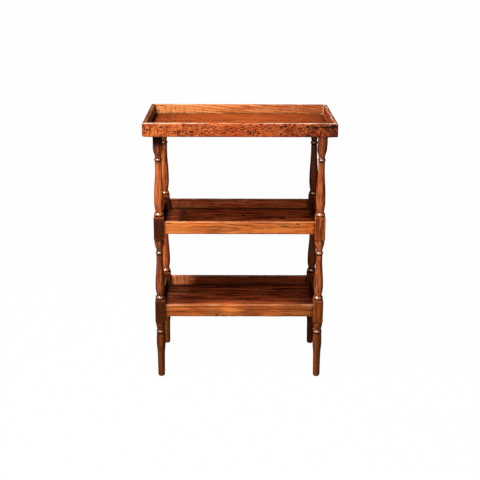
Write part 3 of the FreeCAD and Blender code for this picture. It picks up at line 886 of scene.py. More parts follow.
@dataclass
class Board:
    """Floor board: a field with eased edges on a thinner tongue, notched for the legs where they meet it."""

    node: str
    row: Row
    seam: float
    inner: tuple[float, float]
    reach: float
    bottom: float
    thickness: float
    tongue: float
    seed: int
    finish: WoodFinish
    notch: tuple[float, float] | None = None
    scars: tuple[Scar, ...] = ()
    stain_and_shading: Profile = NOWHERE
    seam_highlight: Profile = NOWHERE
    sawn: Profile = NOWHERE

    SPACING = 5.0
    EASE = 0.6
    EASE_DEPTH = 0.45
    UNEVEN = 0.12
    GAP = 0.25
    RAIL_SHADE_REACH = 11.0
    SEAM_REACH = 6.0

    def _lines(self, stops: list[float]) -> np.ndarray:
        """Grid lines through given stops, with lines close beside each and no gap over the spacing.

        Args:
            stops: Places that must have a line.

        Returns:
            The lines in order.
        """
        found = set()
        stops = sorted(set(stops))
        for here, after in zip(stops, stops[1:]):
            found.update((here, after))
            if after - here > 4 * self.EASE:
                count = max(2, math.ceil((after - here) / self.SPACING))
                found.update(np.round(np.linspace(here + self.EASE, after - self.EASE, count), 4))
        return np.array(sorted(found))

    def build(self) -> Form:
        """Fill a grid of cells, take its outer faces and ease the top edges.

        Returns:
            The board's form, where an outer board lies at the back.
        """
        outer = self.row is not Row.MIDDLE
        inner_x, inner_y = self.inner
        field_end, tongue_end = inner_x - self.GAP, inner_x + self.reach
        field_edge, tongue_edge = inner_y - self.GAP, inner_y + self.reach
        if not outer:
            field_edge = tongue_edge = self.seam
        low = self.seam if outer else -self.seam
        x_stops, y_stops = [-tongue_end, -field_end, field_end, tongue_end], [low, field_edge, tongue_edge]
        if self.notch:
            x_stops += [-self.notch[0], self.notch[0]]
            y_stops.append(self.notch[1])
        xs, ys = self._lines(x_stops), self._lines(y_stops)
        zs = np.array([0.0, self.tongue, self.thickness])
        in_x, in_y = np.meshgrid(np.abs(xs[1:] + xs[:-1]) / 2, (ys[1:] + ys[:-1]) / 2, indexing="ij")
        plan = np.ones_like(in_x, bool)
        if self.notch:
            plan = ~((in_x > self.notch[0]) & (in_y > self.notch[1]))
        ends = ((tongue_end, tongue_edge), (field_end, field_edge))
        filled = np.stack([plan & (in_x < end) & (in_y < edge) for end, edge in ends], axis=-1)
        points, faces = grid_shell(xs, ys, zs, filled)

        x, y, z = points.T
        aside, top = np.abs(x), z > self.thickness - CLOSE
        rim = on_line(y, low) | on_line(y, field_edge) | on_line(aside, field_end)
        if self.notch:
            notch_x, notch_y = self.notch
            rim |= on_line(aside, notch_x) & (y > notch_y - CLOSE)
            rim |= on_line(y, notch_y) & (aside > notch_x - CLOSE)
        rim = rim.astype(float)
        points[:, 2] -= self.EASE_DEPTH * rim * top
        points[:, 2] += self.UNEVEN * Ripple(self.seed, 120.0).at(x, y * 2) * top * (1 - rim)
        inward = np.minimum(field_end - aside, field_edge - y) if outer else field_end - aside
        # Painted shade in the eased seams and edges, and along the rails.
        painted_shade = np.where(top, np.maximum(rim, 0.9 * near(inward, self.RAIL_SHADE_REACH)), 0.0)
        # Painted highlight along the seam where the profile says, with the painted shade taken away there.
        seam = near(y - low, self.SEAM_REACH) * level(self.seam_highlight, x)
        painted_shade *= 1 - np.minimum(seam, 1)
        knot = np.zeros(len(points))
        for scar in self.scars:
            knot = np.maximum(knot, scar.mark(scar.gap(x, y)))
        points[:, 2] += self.bottom
        return Form(points, faces, {"painted_shade": painted_shade, "knot": knot, "wear_and_highlight": seam * top})

    def dress(self) -> None:
        """Build the board, turn it half round where it lies at the front, and give it its finish."""
        form = self.build()
        if self.row is Row.FRONT:
            form.points[:, :2] *= -1
        place = form.points[:, 0]
        form.marks |= {"stain_and_shading": level(self.stain_and_shading, place), "sawn": level(self.sawn, place)}
        draw = np.random.default_rng(self.seed + 3)
        heart = (draw.uniform(-180, 180), self.bottom - draw.uniform(12, 60))
        stock = Stock(Grain.WIDTH, heart, draw.uniform(-0.03, 0.03), draw.uniform(0, 5000))
        form.make(self.node, "floor_wood", self.finish.material(self.node, stock))


@dataclass(frozen=True)
class Ring:
    """One level of a leg: height, radius or half width, and whether it is square."""

    z: float
    size: float
    square: bool = False


@dataclass
class Turning:
    """Outline of a leg from the floor up, gathered stretch by stretch, with the two ends of each bead."""

    rings: list[Ring]
    beads: list[tuple[float, float]] = field(default_factory=list)

    SPACING = 7.0
    SHOULDER = ((0.0, 0.9), (0.5, 0.3), (1.3, 0.0))

    def line(self, size: float, z: float) -> None:
        """Straight stretch to a radius at a height.

        Args:
            size: Radius where it ends.
            z: Height where it ends.
        """
        last = self.rings[-1]
        steps = max(1, math.ceil(abs(z - last.z) / self.SPACING))
        for step in range(1, steps + 1):
            share = step / steps
            self.rings.append(Ring(last.z + (z - last.z) * share, last.size + (size - last.size) * share))

    def arc(self, size: float, z: float, centre_z: float, steps: int = 7) -> None:
        """Round stretch to a radius at a height.

        Args:
            size: Radius of the turning where the stretch ends.
            z: Height where it ends.
            centre_z: Height of the arc's centre.
            steps: Number of rings along it.
        """
        last = self.rings[-1]
        rise = (z - centre_z) ** 2 - (last.z - centre_z) ** 2
        centre = (size**2 - last.size**2 + rise) / (2 * (size - last.size))
        first = math.atan2(last.z - centre_z, last.size - centre)
        turn = math.atan2(z - centre_z, size - centre) - first
        turn = (turn + math.pi) % (2 * math.pi) - math.pi
        reach = math.hypot(last.z - centre_z, last.size - centre)
        for step in range(1, steps + 1):
            angle = first + turn * step / steps
            self.rings.append(Ring(centre_z + reach * math.sin(angle), centre + reach * math.cos(angle)))

    def curve(self, size: float, z: float) -> None:
        """S-shaped stretch whose two ends stand upright.

        Args:
            size: Radius where it ends.
            z: Height where it ends.
        """
        last = self.rings[-1]
        self.arc((last.size + size) / 2, (last.z + z) / 2, last.z, 10)
        self.arc(size, z, z, 10)

    def bead(self, size: float, height: float, root: float) -> None:
        """Half-round bead of a height, up to the root above it.

        Args:
            size: Radius of the turning at the bead's middle.
            height: Height of the bead.
            root: Radius above it.
        """
        low = self.rings[-1].z
        middle = low + height / 2
        self.arc(size, middle, middle)
        self.arc(root, low + height, middle)
        self.beads.append((low, low + height))

    def block(self, half: float, height: float) -> None:
        """Square block of a height on the last ring, with its shoulders eased.

        Args:
            half: Half its width.
            height: Its height.
        """
        low = self.rings[-1].z
        between = [(rise, 0.0) for rise in np.linspace(4, height - 4, max(3, round(height / 6)))]
        upper = [(height - rise, eased) for rise, eased in reversed(self.SHOULDER)]
        for rise, eased in (*self.SHOULDER, *between, *upper):
            self.rings.append(Ring(low + rise, half - eased, True))


@dataclass
class Leg:
    """Leg of one length of wood: a turned foot, two blocks, two spindles and a round top with a tenon."""

    node: str
    x: float
    y: float
    seed: int
    stain_and_shading: tuple[float, ...]
    bow: Profile = NOWHERE
    half: float = 16.25
    shank: float = 15.4
    block: float = 75.5
    top: float = 801.5
    tenon: tuple[float, float] = (9.0, 811.0)
    edge_round: float = 1.6
    around: int = 72

    STRETCHES = (191.0, 266.5, 469.0, 544.5, 722.5, 772.5)
    ARRIS_ANGLES = (41.2, 42.4, 43.4, 44.2, 45.8, 46.6, 47.6, 48.8)
    ARRIS_REACH = 2.6
    END_REACH = 2.4
    STAIN_REACH = 9.0
    UNEVEN = 0.0045
    HANDLED = 0.05
    # Painted shade on the sides of the turned parts.
    PAINTED_SIDE_SHADE = 0.5
    HIGHLIGHT_WIDTH = 0.75
    AGE = ((0.0, 0.75), (120.0, 0.55), (200.0, 0.35), (300.0, 0.1), (480.0, 0.0))

    def outline(self) -> Turning:
        """Levels of the leg from the floor up.

        Returns:
            The outline.
        """
        turning = Turning([Ring(0.0, 8.5)])
        turning.arc(11.2, 6.0, 6.0)
        turning.line(11.85, 70.0)
        turning.curve(14.7, 123.0)
        turning.arc(13.3, 151.5, 123.0)
        turning.bead(14.5, 11.0, 12.2)
        turning.curve(self.shank, 182.0)
        turning.line(self.shank, 191.0)
        for length, swell in ((202.5, 46.0), (228.0, 52.5)):
            turning.block(self.half, self.block)
            self._spindle(turning, length, swell)
        turning.line(self.shank, self.top)
        turning.rings.append(Ring(self.top, self.tenon[0]))
        turning.line(*self.tenon)
        return turning

    def _spindle(self, turning: Turning, length: float, swell: float) -> None:
        """Add a spindle on a block: bead, vase, ring and goblet.

        Args:
            turning: Outline that it is added to.
            length: Length of the spindle.
            swell: Height of the vase's thickest place above the block.
        """
        low = turning.rings[-1].z
        turning.rings.append(Ring(low, 11.7))
        turning.bead(15.6, 13.5, 11.7)
        turning.line(11.7, low + 18.0)
        turning.arc(15.0, low + swell, low + swell, 10)
        turning.curve(10.4, low + length - 64.0)
        turning.line(10.4, low + length - 50.0)
        turning.bead(12.3, 10.0, 9.8)
        turning.curve(self.shank, low + length - 9.0)
        turning.line(self.shank, low + length)

    def _angles(self) -> np.ndarray:
        """Angles of the points round the leg, closer together at the arrises of its blocks.

        Returns:
            The angles in order.
        """
        even = np.linspace(0, 2 * math.pi, self.around, endpoint=False)
        extra = [np.radians(self.ARRIS_ANGLES) + quarter * math.pi / 2 for quarter in range(4)]
        return np.sort(np.concatenate([even, *extra]))

    def _radii(self, z: np.ndarray, size: np.ndarray, square: np.ndarray, angles: np.ndarray) -> np.ndarray:
        """Distances of the points from the leg's axis.

        Args:
            z: Heights of the rings.
            size: Their radii or half widths.
            square: Which of them are square.
            angles: Angles round the leg.

        Returns:
            One row for each ring.
        """
        cos, sin = np.abs(np.cos(angles)), np.abs(np.sin(angles))
        wide, slim, size = np.maximum(cos, sin), np.minimum(cos, sin), size[:, None]
        rounding = self.edge_round * (1 + 0.45 * Ripple(self.seed, 70.0).at(z))[:, None]
        flat = size - rounding
        span = flat * (wide + slim)
        on_arris = span + np.sqrt(np.maximum(span**2 - 2 * flat**2 + rounding**2, 0))
        on_flat = size / wide
        return np.where(square[:, None], np.where(on_flat * slim > flat, on_arris, on_flat), size)

    def build(self) -> Form:
        """Stand the levels on each other, and mark rubbed edges, painted highlights on the beads and painted
        shade in the hollows.

        Returns:
            The leg's form.
        """
        outline, angles = self.outline(), self._angles()
        levels = [(ring.z, ring.size, ring.square) for ring in outline.rings]
        z, size, square = (np.array(values) for values in zip(*levels))
        cos, sin, turned = np.cos(angles), np.sin(angles), ~square[:, None]
        reach = self._radii(z, size, square, angles)
        levels = np.broadcast_to(z[:, None], reach.shape)
        uneven = 1 + self.UNEVEN * Ripple(self.seed + 1, 60.0).at(16 * cos, 16 * sin, levels)
        x, y = reach * cos * uneven, reach * sin * uneven

        highlight_band, recess_shade, ends = np.zeros((3, len(z)))
        for low, high in outline.beads:
            share = (z - low) / (high - low)
            highlight_band = np.maximum(highlight_band, near(share - 0.72, 0.23) * (share > 0) * (share < 1))
            # Painted shade on each bead's underside and just above it.
            recess_shade = np.maximum.reduce([recess_shade, near(share, 0.3), 0.5 * near(z - high, 1.6)])
        for edge in z[square & ~(np.roll(square, 1) & np.roll(square, -1))]:
            ends = np.maximum(ends, near(z - edge, self.END_REACH))
        arris = near(np.hypot(self.half - np.abs(x), self.half - np.abs(y)), self.ARRIS_REACH)
        facing = np.arctan2(cos + 0.35, -sin)
        # Painted highlight: pale colour and coat on the upper front-left of each bead, the side that faces the
        # key light.
        painted_highlight = highlight_band[:, None] * near(facing, self.HIGHLIGHT_WIDTH)
        # Rubbed arrises and block ends; the pale block ends also paint a highlight.
        worn_and_highlight = np.maximum(arris * 0.45, ends[:, None] * 0.5) * ~turned
        depth = self._stains(z)
        # Painted shade next to the block ends, and, where the stain passes 1, under the tray at the front-left
        # leg's top.
        recess_shade = np.maximum(np.maximum(recess_shade, ends) * ~square, np.clip(2 * (depth - 1), 0, 0.9))
        # Stain, with painted shade on the sides, most on the side away from the key light.
        stain_and_shading = depth[:, None] + self.PAINTED_SIDE_SHADE * np.where(cos > 0, cos, 0.4 * cos) ** 2 * turned
        age = level(self.AGE, levels)
        polish = np.maximum(painted_highlight, near(facing, 0.5) * self.HANDLED * turned * (1 - age))
        points = np.stack([x + self.x + level(self.bow, levels), y + self.y, levels], axis=-1).reshape(-1, 3)
        return Form(points, tube_faces(*x.shape), {
            # Rubbed arrises and block ends, together with the beads' painted highlight.
            "wear_and_highlight": np.maximum(worn_and_highlight, 0.9 * painted_highlight),
            "painted_shade": np.broadcast_to(recess_shade[:, None], x.shape),
            "stain_and_shading": np.minimum(stain_and_shading, 1.0),
            "polish": polish * np.clip(1.2 - stain_and_shading, 0.15, 1),
            "age": age * np.clip(1.3 - stain_and_shading, 0, 1),
        })

    def _stains(self, z: np.ndarray) -> np.ndarray:
        """Depth of staining and painted shade at heights, stretch by stretch, with the steps smoothed out.

        Args:
            z: Heights on the leg.

        Returns:
            The depths.
        """
        stains = np.array(self.stain_and_shading)[np.searchsorted(self.STRETCHES, z)]
        weights = near(z[:, None] - z[None], self.STAIN_REACH) * np.gradient(z)[None].clip(0.01)
        return (weights * stains[None]).sum(1) / weights.sum(1)

    def dress(self, finish: WoodFinish) -> None:
        """Build the leg and give it its finish.

        Args:
            finish: The wood's finish.
        """
        draw = np.random.default_rng(self.seed + 3)
        heart = (self.x + draw.choice([-1, 1]) * draw.uniform(14, 40), self.y + draw.uniform(-35, 35))
        stock = Stock(Grain.UPRIGHT, heart, draw.uniform(-0.025, 0.025), draw.uniform(0, 5000))
        self.build().make(self.node, "turned_wood", finish.material(self.node, stock))


@dataclass(kw_only=True)
class Tier:
    """Frame of four rails round a floor of three boards, with the looks of its pieces by their place."""

    name: str
    slot: str
    seed: int
    looks: dict[str, dict]
    bottom: float
    half_width: float
    half_depth: float
    long_span: float
    short_span: float
    rail_height: float
    rail_thickness: float = 14.0
    floor_lift: float
    floor_thickness: float
    floor_reach: float
    tongue: float = 4.5
    seam: float
    notch: tuple[float, float] | None = None

    RAIL = {}
    SIDES = {}
    BOARD = {}

    def corners(self) -> list[Corner]:
        """Section of a rail, which each kind of tier gives."""
        raise NotImplementedError

    def dress(self) -> None:
        """Build the rails and the boards."""
        for number, side in enumerate(Side):
            span = self.long_span if side.long else self.short_span
            Rail(
                f"{self.name}_{side.value}_rail", self.slot, side, span, self.corners(),
                self.seed + 10 * number, self.floor_lift + self.floor_thickness,
                **self.RAIL | self.SIDES.get(side, {}) | self.looks.get(side.value, {}),
            ).dress((self.half_width, self.half_depth, self.bottom))
        inner = (self.half_width - self.rail_thickness, self.half_depth - self.rail_thickness)
        for number, row in enumerate(Row):
            Board(
                f"{self.name}_floor_board_{row.value}", row, self.seam, inner, self.floor_reach,
                self.bottom + self.floor_lift, self.floor_thickness, self.tongue, self.seed + 50 + 10 * number,
                notch=None if row is Row.MIDDLE else self.notch,
                **self.BOARD | self.looks.get(f"{row.value}_board", {}),
            ).dress()


@dataclass(kw_only=True)
class Tray(Tier):
    """Tray top with mitred rails, whose groove holds the floor."""

    name: str = "tray"
    slot: str = "tray_rail_wood"
    seed: int = 110
    bottom: float = 808.0
    half_width: float = 300.0
    half_depth: float = 200.0
    long_span: float = 600.0
    short_span: float = 400.0
    rail_height: float = 42.0
    groove: tuple[float, float, float] = (3.5, 8.0, 6.0)
    floor_lift: float = 3.5
    floor_thickness: float = 6.5
    floor_reach: float = 5.5
    seam: float = 62.0

    RAIL = {
        "finish": TRAY_RAIL, "spacing": 2.6, "mitred": True, "nicks": 14, "rubbing": 0.3, "cut": Cut.UPRIGHT,
    }
    BOARD = {
        "finish": TRAY_FLOOR, "sawn": ((-240.0, 1.0), (-100.0, 0.2), (200.0, 0.1), (280.0, 0.6)),
        "stain_and_shading": ((-280.0, 0.45), (-150.0, 0.1), (0.0, 0.0), (120.0, 0.15), (280.0, 0.65)),
    }

    def corners(self) -> list[Corner]:
        """Section of a tray rail.

        Returns:
            Its corners in order.
        """
        thick, high = self.rail_thickness, self.rail_height
        low, top, depth = self.groove
        return [
            Corner(0, 0, 3.5, 0.3), Corner(thick, 0), Corner(thick, low), Corner(thick - depth, low),
            Corner(thick - depth, top), Corner(thick, top), Corner(thick, high, 2.0, 0.7),
            Corner(0, high, 5.0, 0.3),
        ]


@dataclass(kw_only=True)
class Shelf(Tier):
    """Shelf between the legs, whose rails hold the floor in a rebate."""

    slot: str = "shelf_rail_wood"
    half_width: float = 267.25
    half_depth: float = 158.5
    long_span: float = 479.5
    short_span: float = 262.0
    rail_height: float = 39.0
    rebate: float = 7.0
    floor_lift: float = 0.0
    floor_thickness: float = 6.0
    floor_reach: float = 6.5
    seam: float = 48.0
    notch: tuple[float, float] = (239.25, 130.5)

    # Dark side rails: painted shade, for their inner faces lie in shade.
    RAIL = {"finish": SHELF_RAIL, "stain_and_shading": ((0.0, 0.95),)}
    SIDES = {
        Side.FRONT: {"finish": PALE_SHELF_RAIL, "top_wear_and_highlight": ((0.0, 0.7),)},
        Side.BACK: {
            "finish": BACK_SHELF_RAIL, "sawn": ((-225.0, 1.0), (-190.0, 0.9), (-160.0, 0.3), (-140.0, 0.0)),
        },
    }
    BOARD = {
        "finish": SHELF_FLOOR,
        # The dark left end of the floors is painted shade; the rest is stain.
        "stain_and_shading": ((-253.0, 0.9), (-170.0, 0.7), (-110.0, 0.1), (120.0, 0.05), (253.0, 0.2)),
    }

    def corners(self) -> list[Corner]:
        """Section of a shelf rail.

        Returns:
            Its corners in order.
        """
        thick, high, step = self.rail_thickness, self.rail_height, self.rail_thickness - self.rebate
        return [
            Corner(0, 0, 0.5, 0.5), Corner(step, 0), Corner(step, self.tongue), Corner(thick, self.tongue),
            Corner(thick, high, 1.5, 0.9), Corner(0, high, 1.5, 1.0),
        ]


@dataclass
class Fastenings:
    """Pieces under the floors that keep their solids: cleats, screws and pins."""

    steel: tuple[str, ...] = ("tray_cleat_screws", "middle_shelf_floor_pins", "lower_shelf_floor_pins")

    CLEATS = {
        "tray_left_cleat": Stock(Grain.DEPTH, (40.0, 780.0), 0.02, 300.0),
        "tray_right_cleat": Stock(Grain.DEPTH, (-40.0, 780.0), 0.02, 1200.0),
    }

    def dress(self) -> None:
        """Give the solids their finishes."""
        for name, stock in self.CLEATS.items():
            self._coat(name, CLEAT_WOOD.material(name, stock))
        steel = SteelFinish().material()
        for name in self.steel:
            self._coat(name, steel)

    @staticmethod
    def _coat(name: str, material: bpy.types.Material) -> None:
        """Put a material in the slots of a solid's object.

        Args:
            name: Name of the solid's node.
            material: The material.
        """
        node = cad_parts[name]
        if not node.material_slots:
            node.data.materials.append(None)
        for slot in node.material_slots:
            slot.link = "OBJECT"
            slot.material = material
        LOG.info("%s: finish %s", name, material.name)


@dataclass(frozen=True)
class Softbox:
    """Studio lamp: place, aim, power, width and height."""

    label: str
    place: tuple[float, float, float]
    aim: tuple[float, float, float]
    power: float
    width: float
    height: float

    def hang(self) -> None:
        """Hang the lamp."""
        data = bpy.data.lights.new(self.label, "AREA")
        data.shape = "RECTANGLE"
        data.size = self.width
        data.size_y = self.height
        data.energy = self.power
        lamp = bpy.data.objects.new(self.label, data)
        way = Vector(self.aim) - Vector(self.place)
        lamp.matrix_world = Matrix.Translation(self.place) @ way.to_track_quat("-Z", "Y").to_matrix().to_4x4()
        bpy.context.scene.collection.objects.link(lamp)


@dataclass
class Studio:
    """White studio: a pale floor and soft lamps, both in metres, an even surrounding and the camera."""

    lamps: tuple[Softbox, ...] = (
        Softbox("key_softbox", (-1.13, -1.29, 3.19), (0.0, 0.0, 0.5), 124.0, 0.9, 0.9),
        Softbox("front_softbox", (-0.9, -3.3, 1.5), (0.0, 0.0, 0.45), 28.0, 1.8, 0.9),
        Softbox("right_softbox", (1.9, -2.6, 2.0), (0.0, 0.0, 0.45), 8.0, 0.4, 0.4),
    )
    ambient: float = 0.095
    floor_size: float = 60.0
    floor_level: float = -0.0003
    floor_colour: Colour = (0.42, 0.42, 0.42)
    floor_white: float = 0.992
    eye: tuple[float, float, float] = (-22.2, -3314.4, 1379.7)
    yaw: float = 0.0075
    pitch: float = 0.2807
    roll: float = 0.00435
    focal_pixels: float = 1032.0
    image_pixels: float = 480.0
    sensor: float = 36.0
    farthest: float = 200.0

    def build(self) -> None:
        """Lay the floor, hang the lamps, set the surrounding light and the camera."""
        self._floor()
        for lamp in self.lamps:
            lamp.hang()
        self._surrounding()
        self._camera()
        bpy.context.scene.view_settings.view_transform = "Standard"

    def _floor(self) -> None:
        """White floor that keeps a trace of a shadow."""
        graph = Graph("studio_floor")
        rays = graph.node("ShaderNodeLightPath").outputs
        seen = [Value(graph, rays[name]) for name in ("Is Camera Ray", "Is Glossy Ray", "Is Transmission Ray")]
        white = seen[0].or_more(seen[1]).or_more(seen[2]) * self.floor_white
        matt = graph.node("ShaderNodeBsdfDiffuse", None, {"Color": opaque(self.floor_colour)})
        glow = graph.node("ShaderNodeEmission", None, {"Color": WHITE, "Strength": 1.0})
        material = graph.finish("ShaderNodeMixShader", {0: white, 1: matt.outputs[0], 2: glow.outputs[0]})
        half = self.floor_size / 2
        mesh = bpy.data.meshes.new("studio_floor")
        corners = [(-half, -half), (half, -half), (half, half), (-half, half)]
        mesh.from_pydata([(x, y, self.floor_level) for x, y in corners], [], [(0, 1, 2, 3)])
        mesh.materials.append(material)
        floor = bpy.data.objects.new("studio_floor", mesh)
        bpy.context.scene.collection.objects.link(floor)

    def _surrounding(self) -> None:
        """Even pale light from all round."""
        world = bpy.data.worlds.new("studio")
        world.use_nodes = True
        background = world.node_tree.nodes["Background"]
        background.inputs["Color"].default_value = WHITE
        background.inputs["Strength"].default_value = self.ambient
        bpy.context.scene.world = world

    def _camera(self) -> None:
        """Camera at the photograph's place and angle."""
        level_way = Vector((math.sin(self.yaw), math.cos(self.yaw), 0.0)) * math.cos(self.pitch)
        ahead = level_way - Vector((0.0, 0.0, math.sin(self.pitch)))
        right = Vector((math.cos(self.yaw), -math.sin(self.yaw), 0.0))
        up = right.cross(ahead)
        tilted_right = right * math.cos(self.roll) + up * math.sin(self.roll)
        tilted_up = up * math.cos(self.roll) - right * math.sin(self.roll)
        turn = Matrix((tilted_right, tilted_up, -ahead)).transposed().to_4x4()
        data = bpy.data.cameras.new("camera")
        data.sensor_width = self.sensor
        data.lens = self.focal_pixels / self.image_pixels * self.sensor
        data.clip_end = self.farthest
        camera = bpy.data.objects.new("camera", data)
        camera.matrix_world = Matrix.Translation(Vector(self.eye) * MM) @ turn
        bpy.context.scene.collection.objects.link(camera)
        bpy.context.scene.camera = camera


TRAY_LOOKS = {
    "front": {
        "spacing": 1.7,
        "low_rounds": (8.0, 4.0),
        "scars": (
            Scar(-283, 21.0, 5.5, 3.2, 1.2), Scar(-270, 30.5, 7.5, 2.3, 0.3), Scar(-257, 31.5, 4.0, 2.0, 0.3),
            Scar(-240, 30.5, 8.0, 2.4, 0.3), Scar(-224, 30.5, 4.5, 2.0, 0.3), Scar(-165, 26.0, 5.5, 1.7, 0.3),
            Scar(-149, 15.0, 7.5, 3.2, 1.0), Scar(-124, 8.7, 2.8, 2.0), Scar(-114, 28.5, 5.0, 1.9, 0.3),
            Scar(-104, 38.0, 5.0, 2.2), Scar(-101, 19.0, 4.4, 3.4, 1.2), Scar(-88, 30.5, 5.0, 2.2, 0.4),
            Scar(-66, 38.5, 3.4, 2.2), Scar(-45, 17.5, 3.0, 2.6), Scar(-15, 38.5, 4.0, 2.4),
            Scar(2, 38.5, 7.0, 2.2), Scar(8, 23.0, 9.0, 2.3, 0.4), Scar(25, 18.3, 9.0, 2.2, 0.4),
            Scar(32, 11.0, 3.0, 6.5, 0.6), Scar(40, 7.0, 3.0, 3.6, 0.6), Scar(57, 12.0, 6.2, 3.2, 0.8),
            Scar(47, 20.0, 5.2, 2.0, 0.4), Scar(66, 38.5, 9.0, 2.0, 0.4), Scar(76, 31.5, 7.0, 1.7, 0.3),
            Scar(89, 28.0, 7.0, 1.7, 0.3), Scar(126, 30.0, 5.6, 4.0, 0.6), Scar(139, 32.5, 9.5, 2.0, 0.4),
            Scar(124, 8.5, 3.0, 4.2, 0.6), Scar(166, 38.0, 8.0, 2.6, 0.4), Scar(207, 33.5, 6.6, 3.4, 0.5),
            Scar(208, 16.5, 3.4, 3.0, 1.2), Scar(230, 29.5, 16.0, 6.0, 0.2, share=0.8),
            Scar(246, 13.5, 2.4, 12.0, 0.4), Scar(262, 19.8, 3.2, 2.6, 0.6), Scar(263, 29.5, 13.0, 2.8, 0.3),
            Scar(286, 33.0, 13.0, 7.5, 0.2, share=0.85), Scar(255, 31.5, 34.0, 3.6, 0.15, share=0.8),
            Scar(185, 22.0, 22.0, 13.0, 0.0, share=0.42), Scar(100, 18.0, 30.0, 14.0, 0.0, share=0.36),
        ),
        "stain_and_shading": (
            (-250.0, -0.2), (-120.0, 0.08), (0.0, 0.1), (60.0, 0.25), (120.0, 0.5), (200.0, 0.6), (300.0, 0.85),
        ),
        "top_wear_and_highlight": ((-130.0, 1.0), (-70.0, 0.6), (60.0, 0.6), (110.0, 0.95)),
        "sawn": ((-170.0, 1.0), (-80.0, 0.3), (200.0, 0.3)),
    },
    "right": {
        "rounds": (5.0, 14.0), "stain_and_shading": ((0.0, 0.4),), "top_wear_and_highlight": ((0.0, 0.65),),
        "pale_corner_line": ((0.0, 0.75), (170.0, 0.9)), "painted_edge_shade": 0.8,
    },
    "back": {
        "finish": TRAY_BACK_RAIL, "rounds": (14.0, 5.0), "lean": 0.1,
        "scars": (
            Scar(278, 37.5, 5.0, 2.2, 0.5, True), Scar(262, 37.5, 7.0, 2.4, 0.5, True),
            Scar(273, 18.6, 3.2, 3.0, 0.8, True), Scar(125, 15.0, 1.8, 4.0, 0.4, True),
            Scar(-165, 13.5, 3.6, 2.0, 0.6, True), Scar(-218, 27.0, 2.4, 1.6, 0.5, True),
        ),
        "stain_and_shading": ((-280.0, -0.8), (-120.0, -0.1), (0.0, 0.08), (280.0, 0.4)),
        "top_wear_and_highlight": ((0.0, 0.35),), "sawn": ((-200.0, 0.8), (-120.0, 0.0)),
        "pale_corner_line": ((-280.0, 0.9), (-268.0, 0.0)),
    },
    "left": {
        "finish": TRAY_LEFT_RAIL, "low_rounds": (4.0, 8.0), "stain_and_shading": ((0.0, 0.35),), "top_wear_and_highlight": ((0.0, 0.1),),
        "painted_edge_shade": 0.5,
    },
    "middle_board": {"scars": (Scar(205, 20.0, 5.0, 4.0),)},
    "back_board": {"scars": (Scar(-60, 108.0, 4.0, 3.0),)},
}
MIDDLE_LOOKS = {
    "front": {
        "scars": (
            Scar(185, 34.0, 8.0, 3.0, 0.4), Scar(-225, 34.0, 12.0, 1.8, 0.3), Scar(144, 25.5, 18.0, 2.0, 0.3),
        ),
        "stain_and_shading": ((-240.0, -0.5), (-170.0, -0.4), (-60.0, 0.15), (100.0, 0.15), (240.0, 0.1)),
    },
    "back": {"stain_and_shading": ((-240.0, 0.55), (-150.0, 0.3), (240.0, 0.45))},
    "middle_board": {
        "scars": (
            Scar(15, 46.0, 7.0, 12.0), Scar(31, 20.0, 8.0, 11.0), Scar(143, 19.0, 15.0, 9.0),
            Scar(90, 4.0, 45.0, 5.0, share=0.75), Scar(-102, 12.0, 26.0, 7.0, share=0.95),
            Scar(225, 38.0, 24.0, 9.0, share=0.85),
        ),
        # The dark left end is painted shade; the rest is stain.
        "stain_and_shading": (
            (-253.0, 0.95), (-240.0, 0.9), (-222.0, 0.6), (-210.0, 0.68), (-190.0, 0.9), (-110.0, 0.05),
            (253.0, 0.12),
        ),
    },
    "back_board": {
        "scars": (
            Scar(15, 54.0, 7.0, 18.0), Scar(-50, 62.0, 5.0, 14.0), Scar(-100, 137.0, 26.0, 8.0),
            Scar(-113, 100.0, 5.0, 9.0), Scar(205, 141.0, 60.0, 9.0), Scar(190, 98.0, 30.0, 8.0, share=0.8),
        ),
        # The dark left end is painted shade; the rest is stain.
        "stain_and_shading": (
            (-253.0, 0.95), (-235.0, 0.9), (-222.0, 0.72), (-208.0, 0.76), (-190.0, 0.9), (-110.0, 0.05),
            (253.0, 0.15),
        ),
    },
}
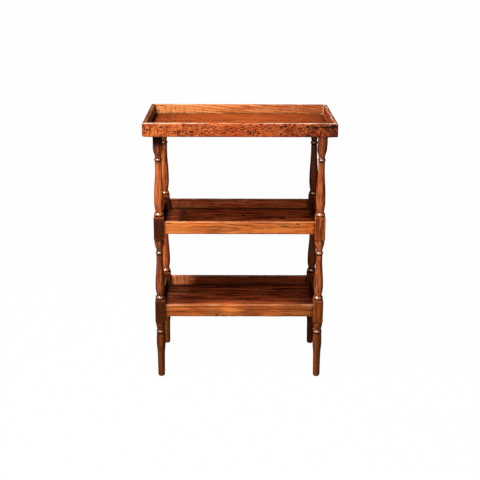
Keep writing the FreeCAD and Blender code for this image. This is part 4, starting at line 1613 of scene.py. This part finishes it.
LOWER_LOOKS = {
    "front": {
        "scars": (Scar(-72.0, 6.0, 10.0, 3.0, 0.2), Scar(-50.0, 3.0, 14.0, 1.8, 0.2)),
        "stain_and_shading": (
            (-240.0, 0.3), (-100.0, 0.2), (-60.0, 0.1), (-30.0, -0.2), (5.0, 0.15), (120.0, 0.4), (240.0, 0.75),
        ),
    },
    # The pale left end is a painted pool of light; the rest is darker stain.
    "back": {"stain_and_shading": ((-182.0, -1.0), (-150.0, 0.8), (100.0, 0.85), (240.0, 0.65))},
    "back_board": {
        # The dark left end is painted shade; the rest is stain.
        "stain_and_shading": ((-253.0, 0.9), (-160.0, 0.8), (-100.0, 0.35), (253.0, 0.35)),
        "seam_highlight": ((-245.0, 0.6), (-175.0, 0.5), (-160.0, 0.0)),
    },
    "middle_board": {
        "scars": (Scar(8, 6.0, 14.0, 7.0, share=0.8), Scar(83, 44.0, 14.0, 9.0, share=0.75)),
        # The dark left end is painted shade; the rest is stain.
        "stain_and_shading": ((-253.0, 0.85), (-160.0, 0.55), (-100.0, 0.0), (90.0, 0.05), (170.0, 0.4), (253.0, 0.5)),
    },
    "front_board": {
        # The dark left end is painted shade; the rest is stain.
        "stain_and_shading": ((-253.0, 0.85), (-160.0, 0.5), (-100.0, -0.05), (90.0, -0.05), (170.0, 0.3), (253.0, 0.4)),
    },
}
LEG_X, LEG_Y = 256.0, 147.25
LEGS = (
    # The front-left leg's top stretch, under the tray, goes past 1, which adds painted shade there.
    Leg("front_left_leg", -LEG_X, -LEG_Y, 11, (0.74, 1.0, 0.5, 0.97, -0.1, 0.17, 1.4),
        ((542.0, 0.0), (660.0, 1.0), (790.0, 0.0))),
    Leg("front_right_leg", LEG_X, -LEG_Y, 21, (0.6, 0.58, 0.28, 0.43, 0.12, 0.12, 0.3),
        ((752.0, 0.0), (780.0, 1.8))),
    Leg("rear_right_leg", LEG_X, LEG_Y, 31, (1.0, 0.9, 0.75, 0.9, 0.8, 0.85, 1.0),
        ((560.0, 0.0), (800.0, -1.9))),
    Leg("rear_left_leg", -LEG_X, LEG_Y, 41, (0.5, 0.95, -0.1, 1.0, -0.15, 0.2, 1.0)),
)


def main() -> None:
    """Build the table's looks and the studio round it."""
    for leg in LEGS:
        leg.dress(LEG_WOOD)
    Shelf(name="lower_shelf", bottom=211.0, seed=200, looks=LOWER_LOOKS).dress()
    Shelf(name="middle_shelf", bottom=489.0, seed=300, looks=MIDDLE_LOOKS).dress()
    Tray(looks=TRAY_LOOKS).dress()
    Fastenings().dress()
    Studio().build()


if __name__ == "__main__":
    logging.basicConfig(level=logging.INFO, format="%(name)s: %(message)s")
    main()
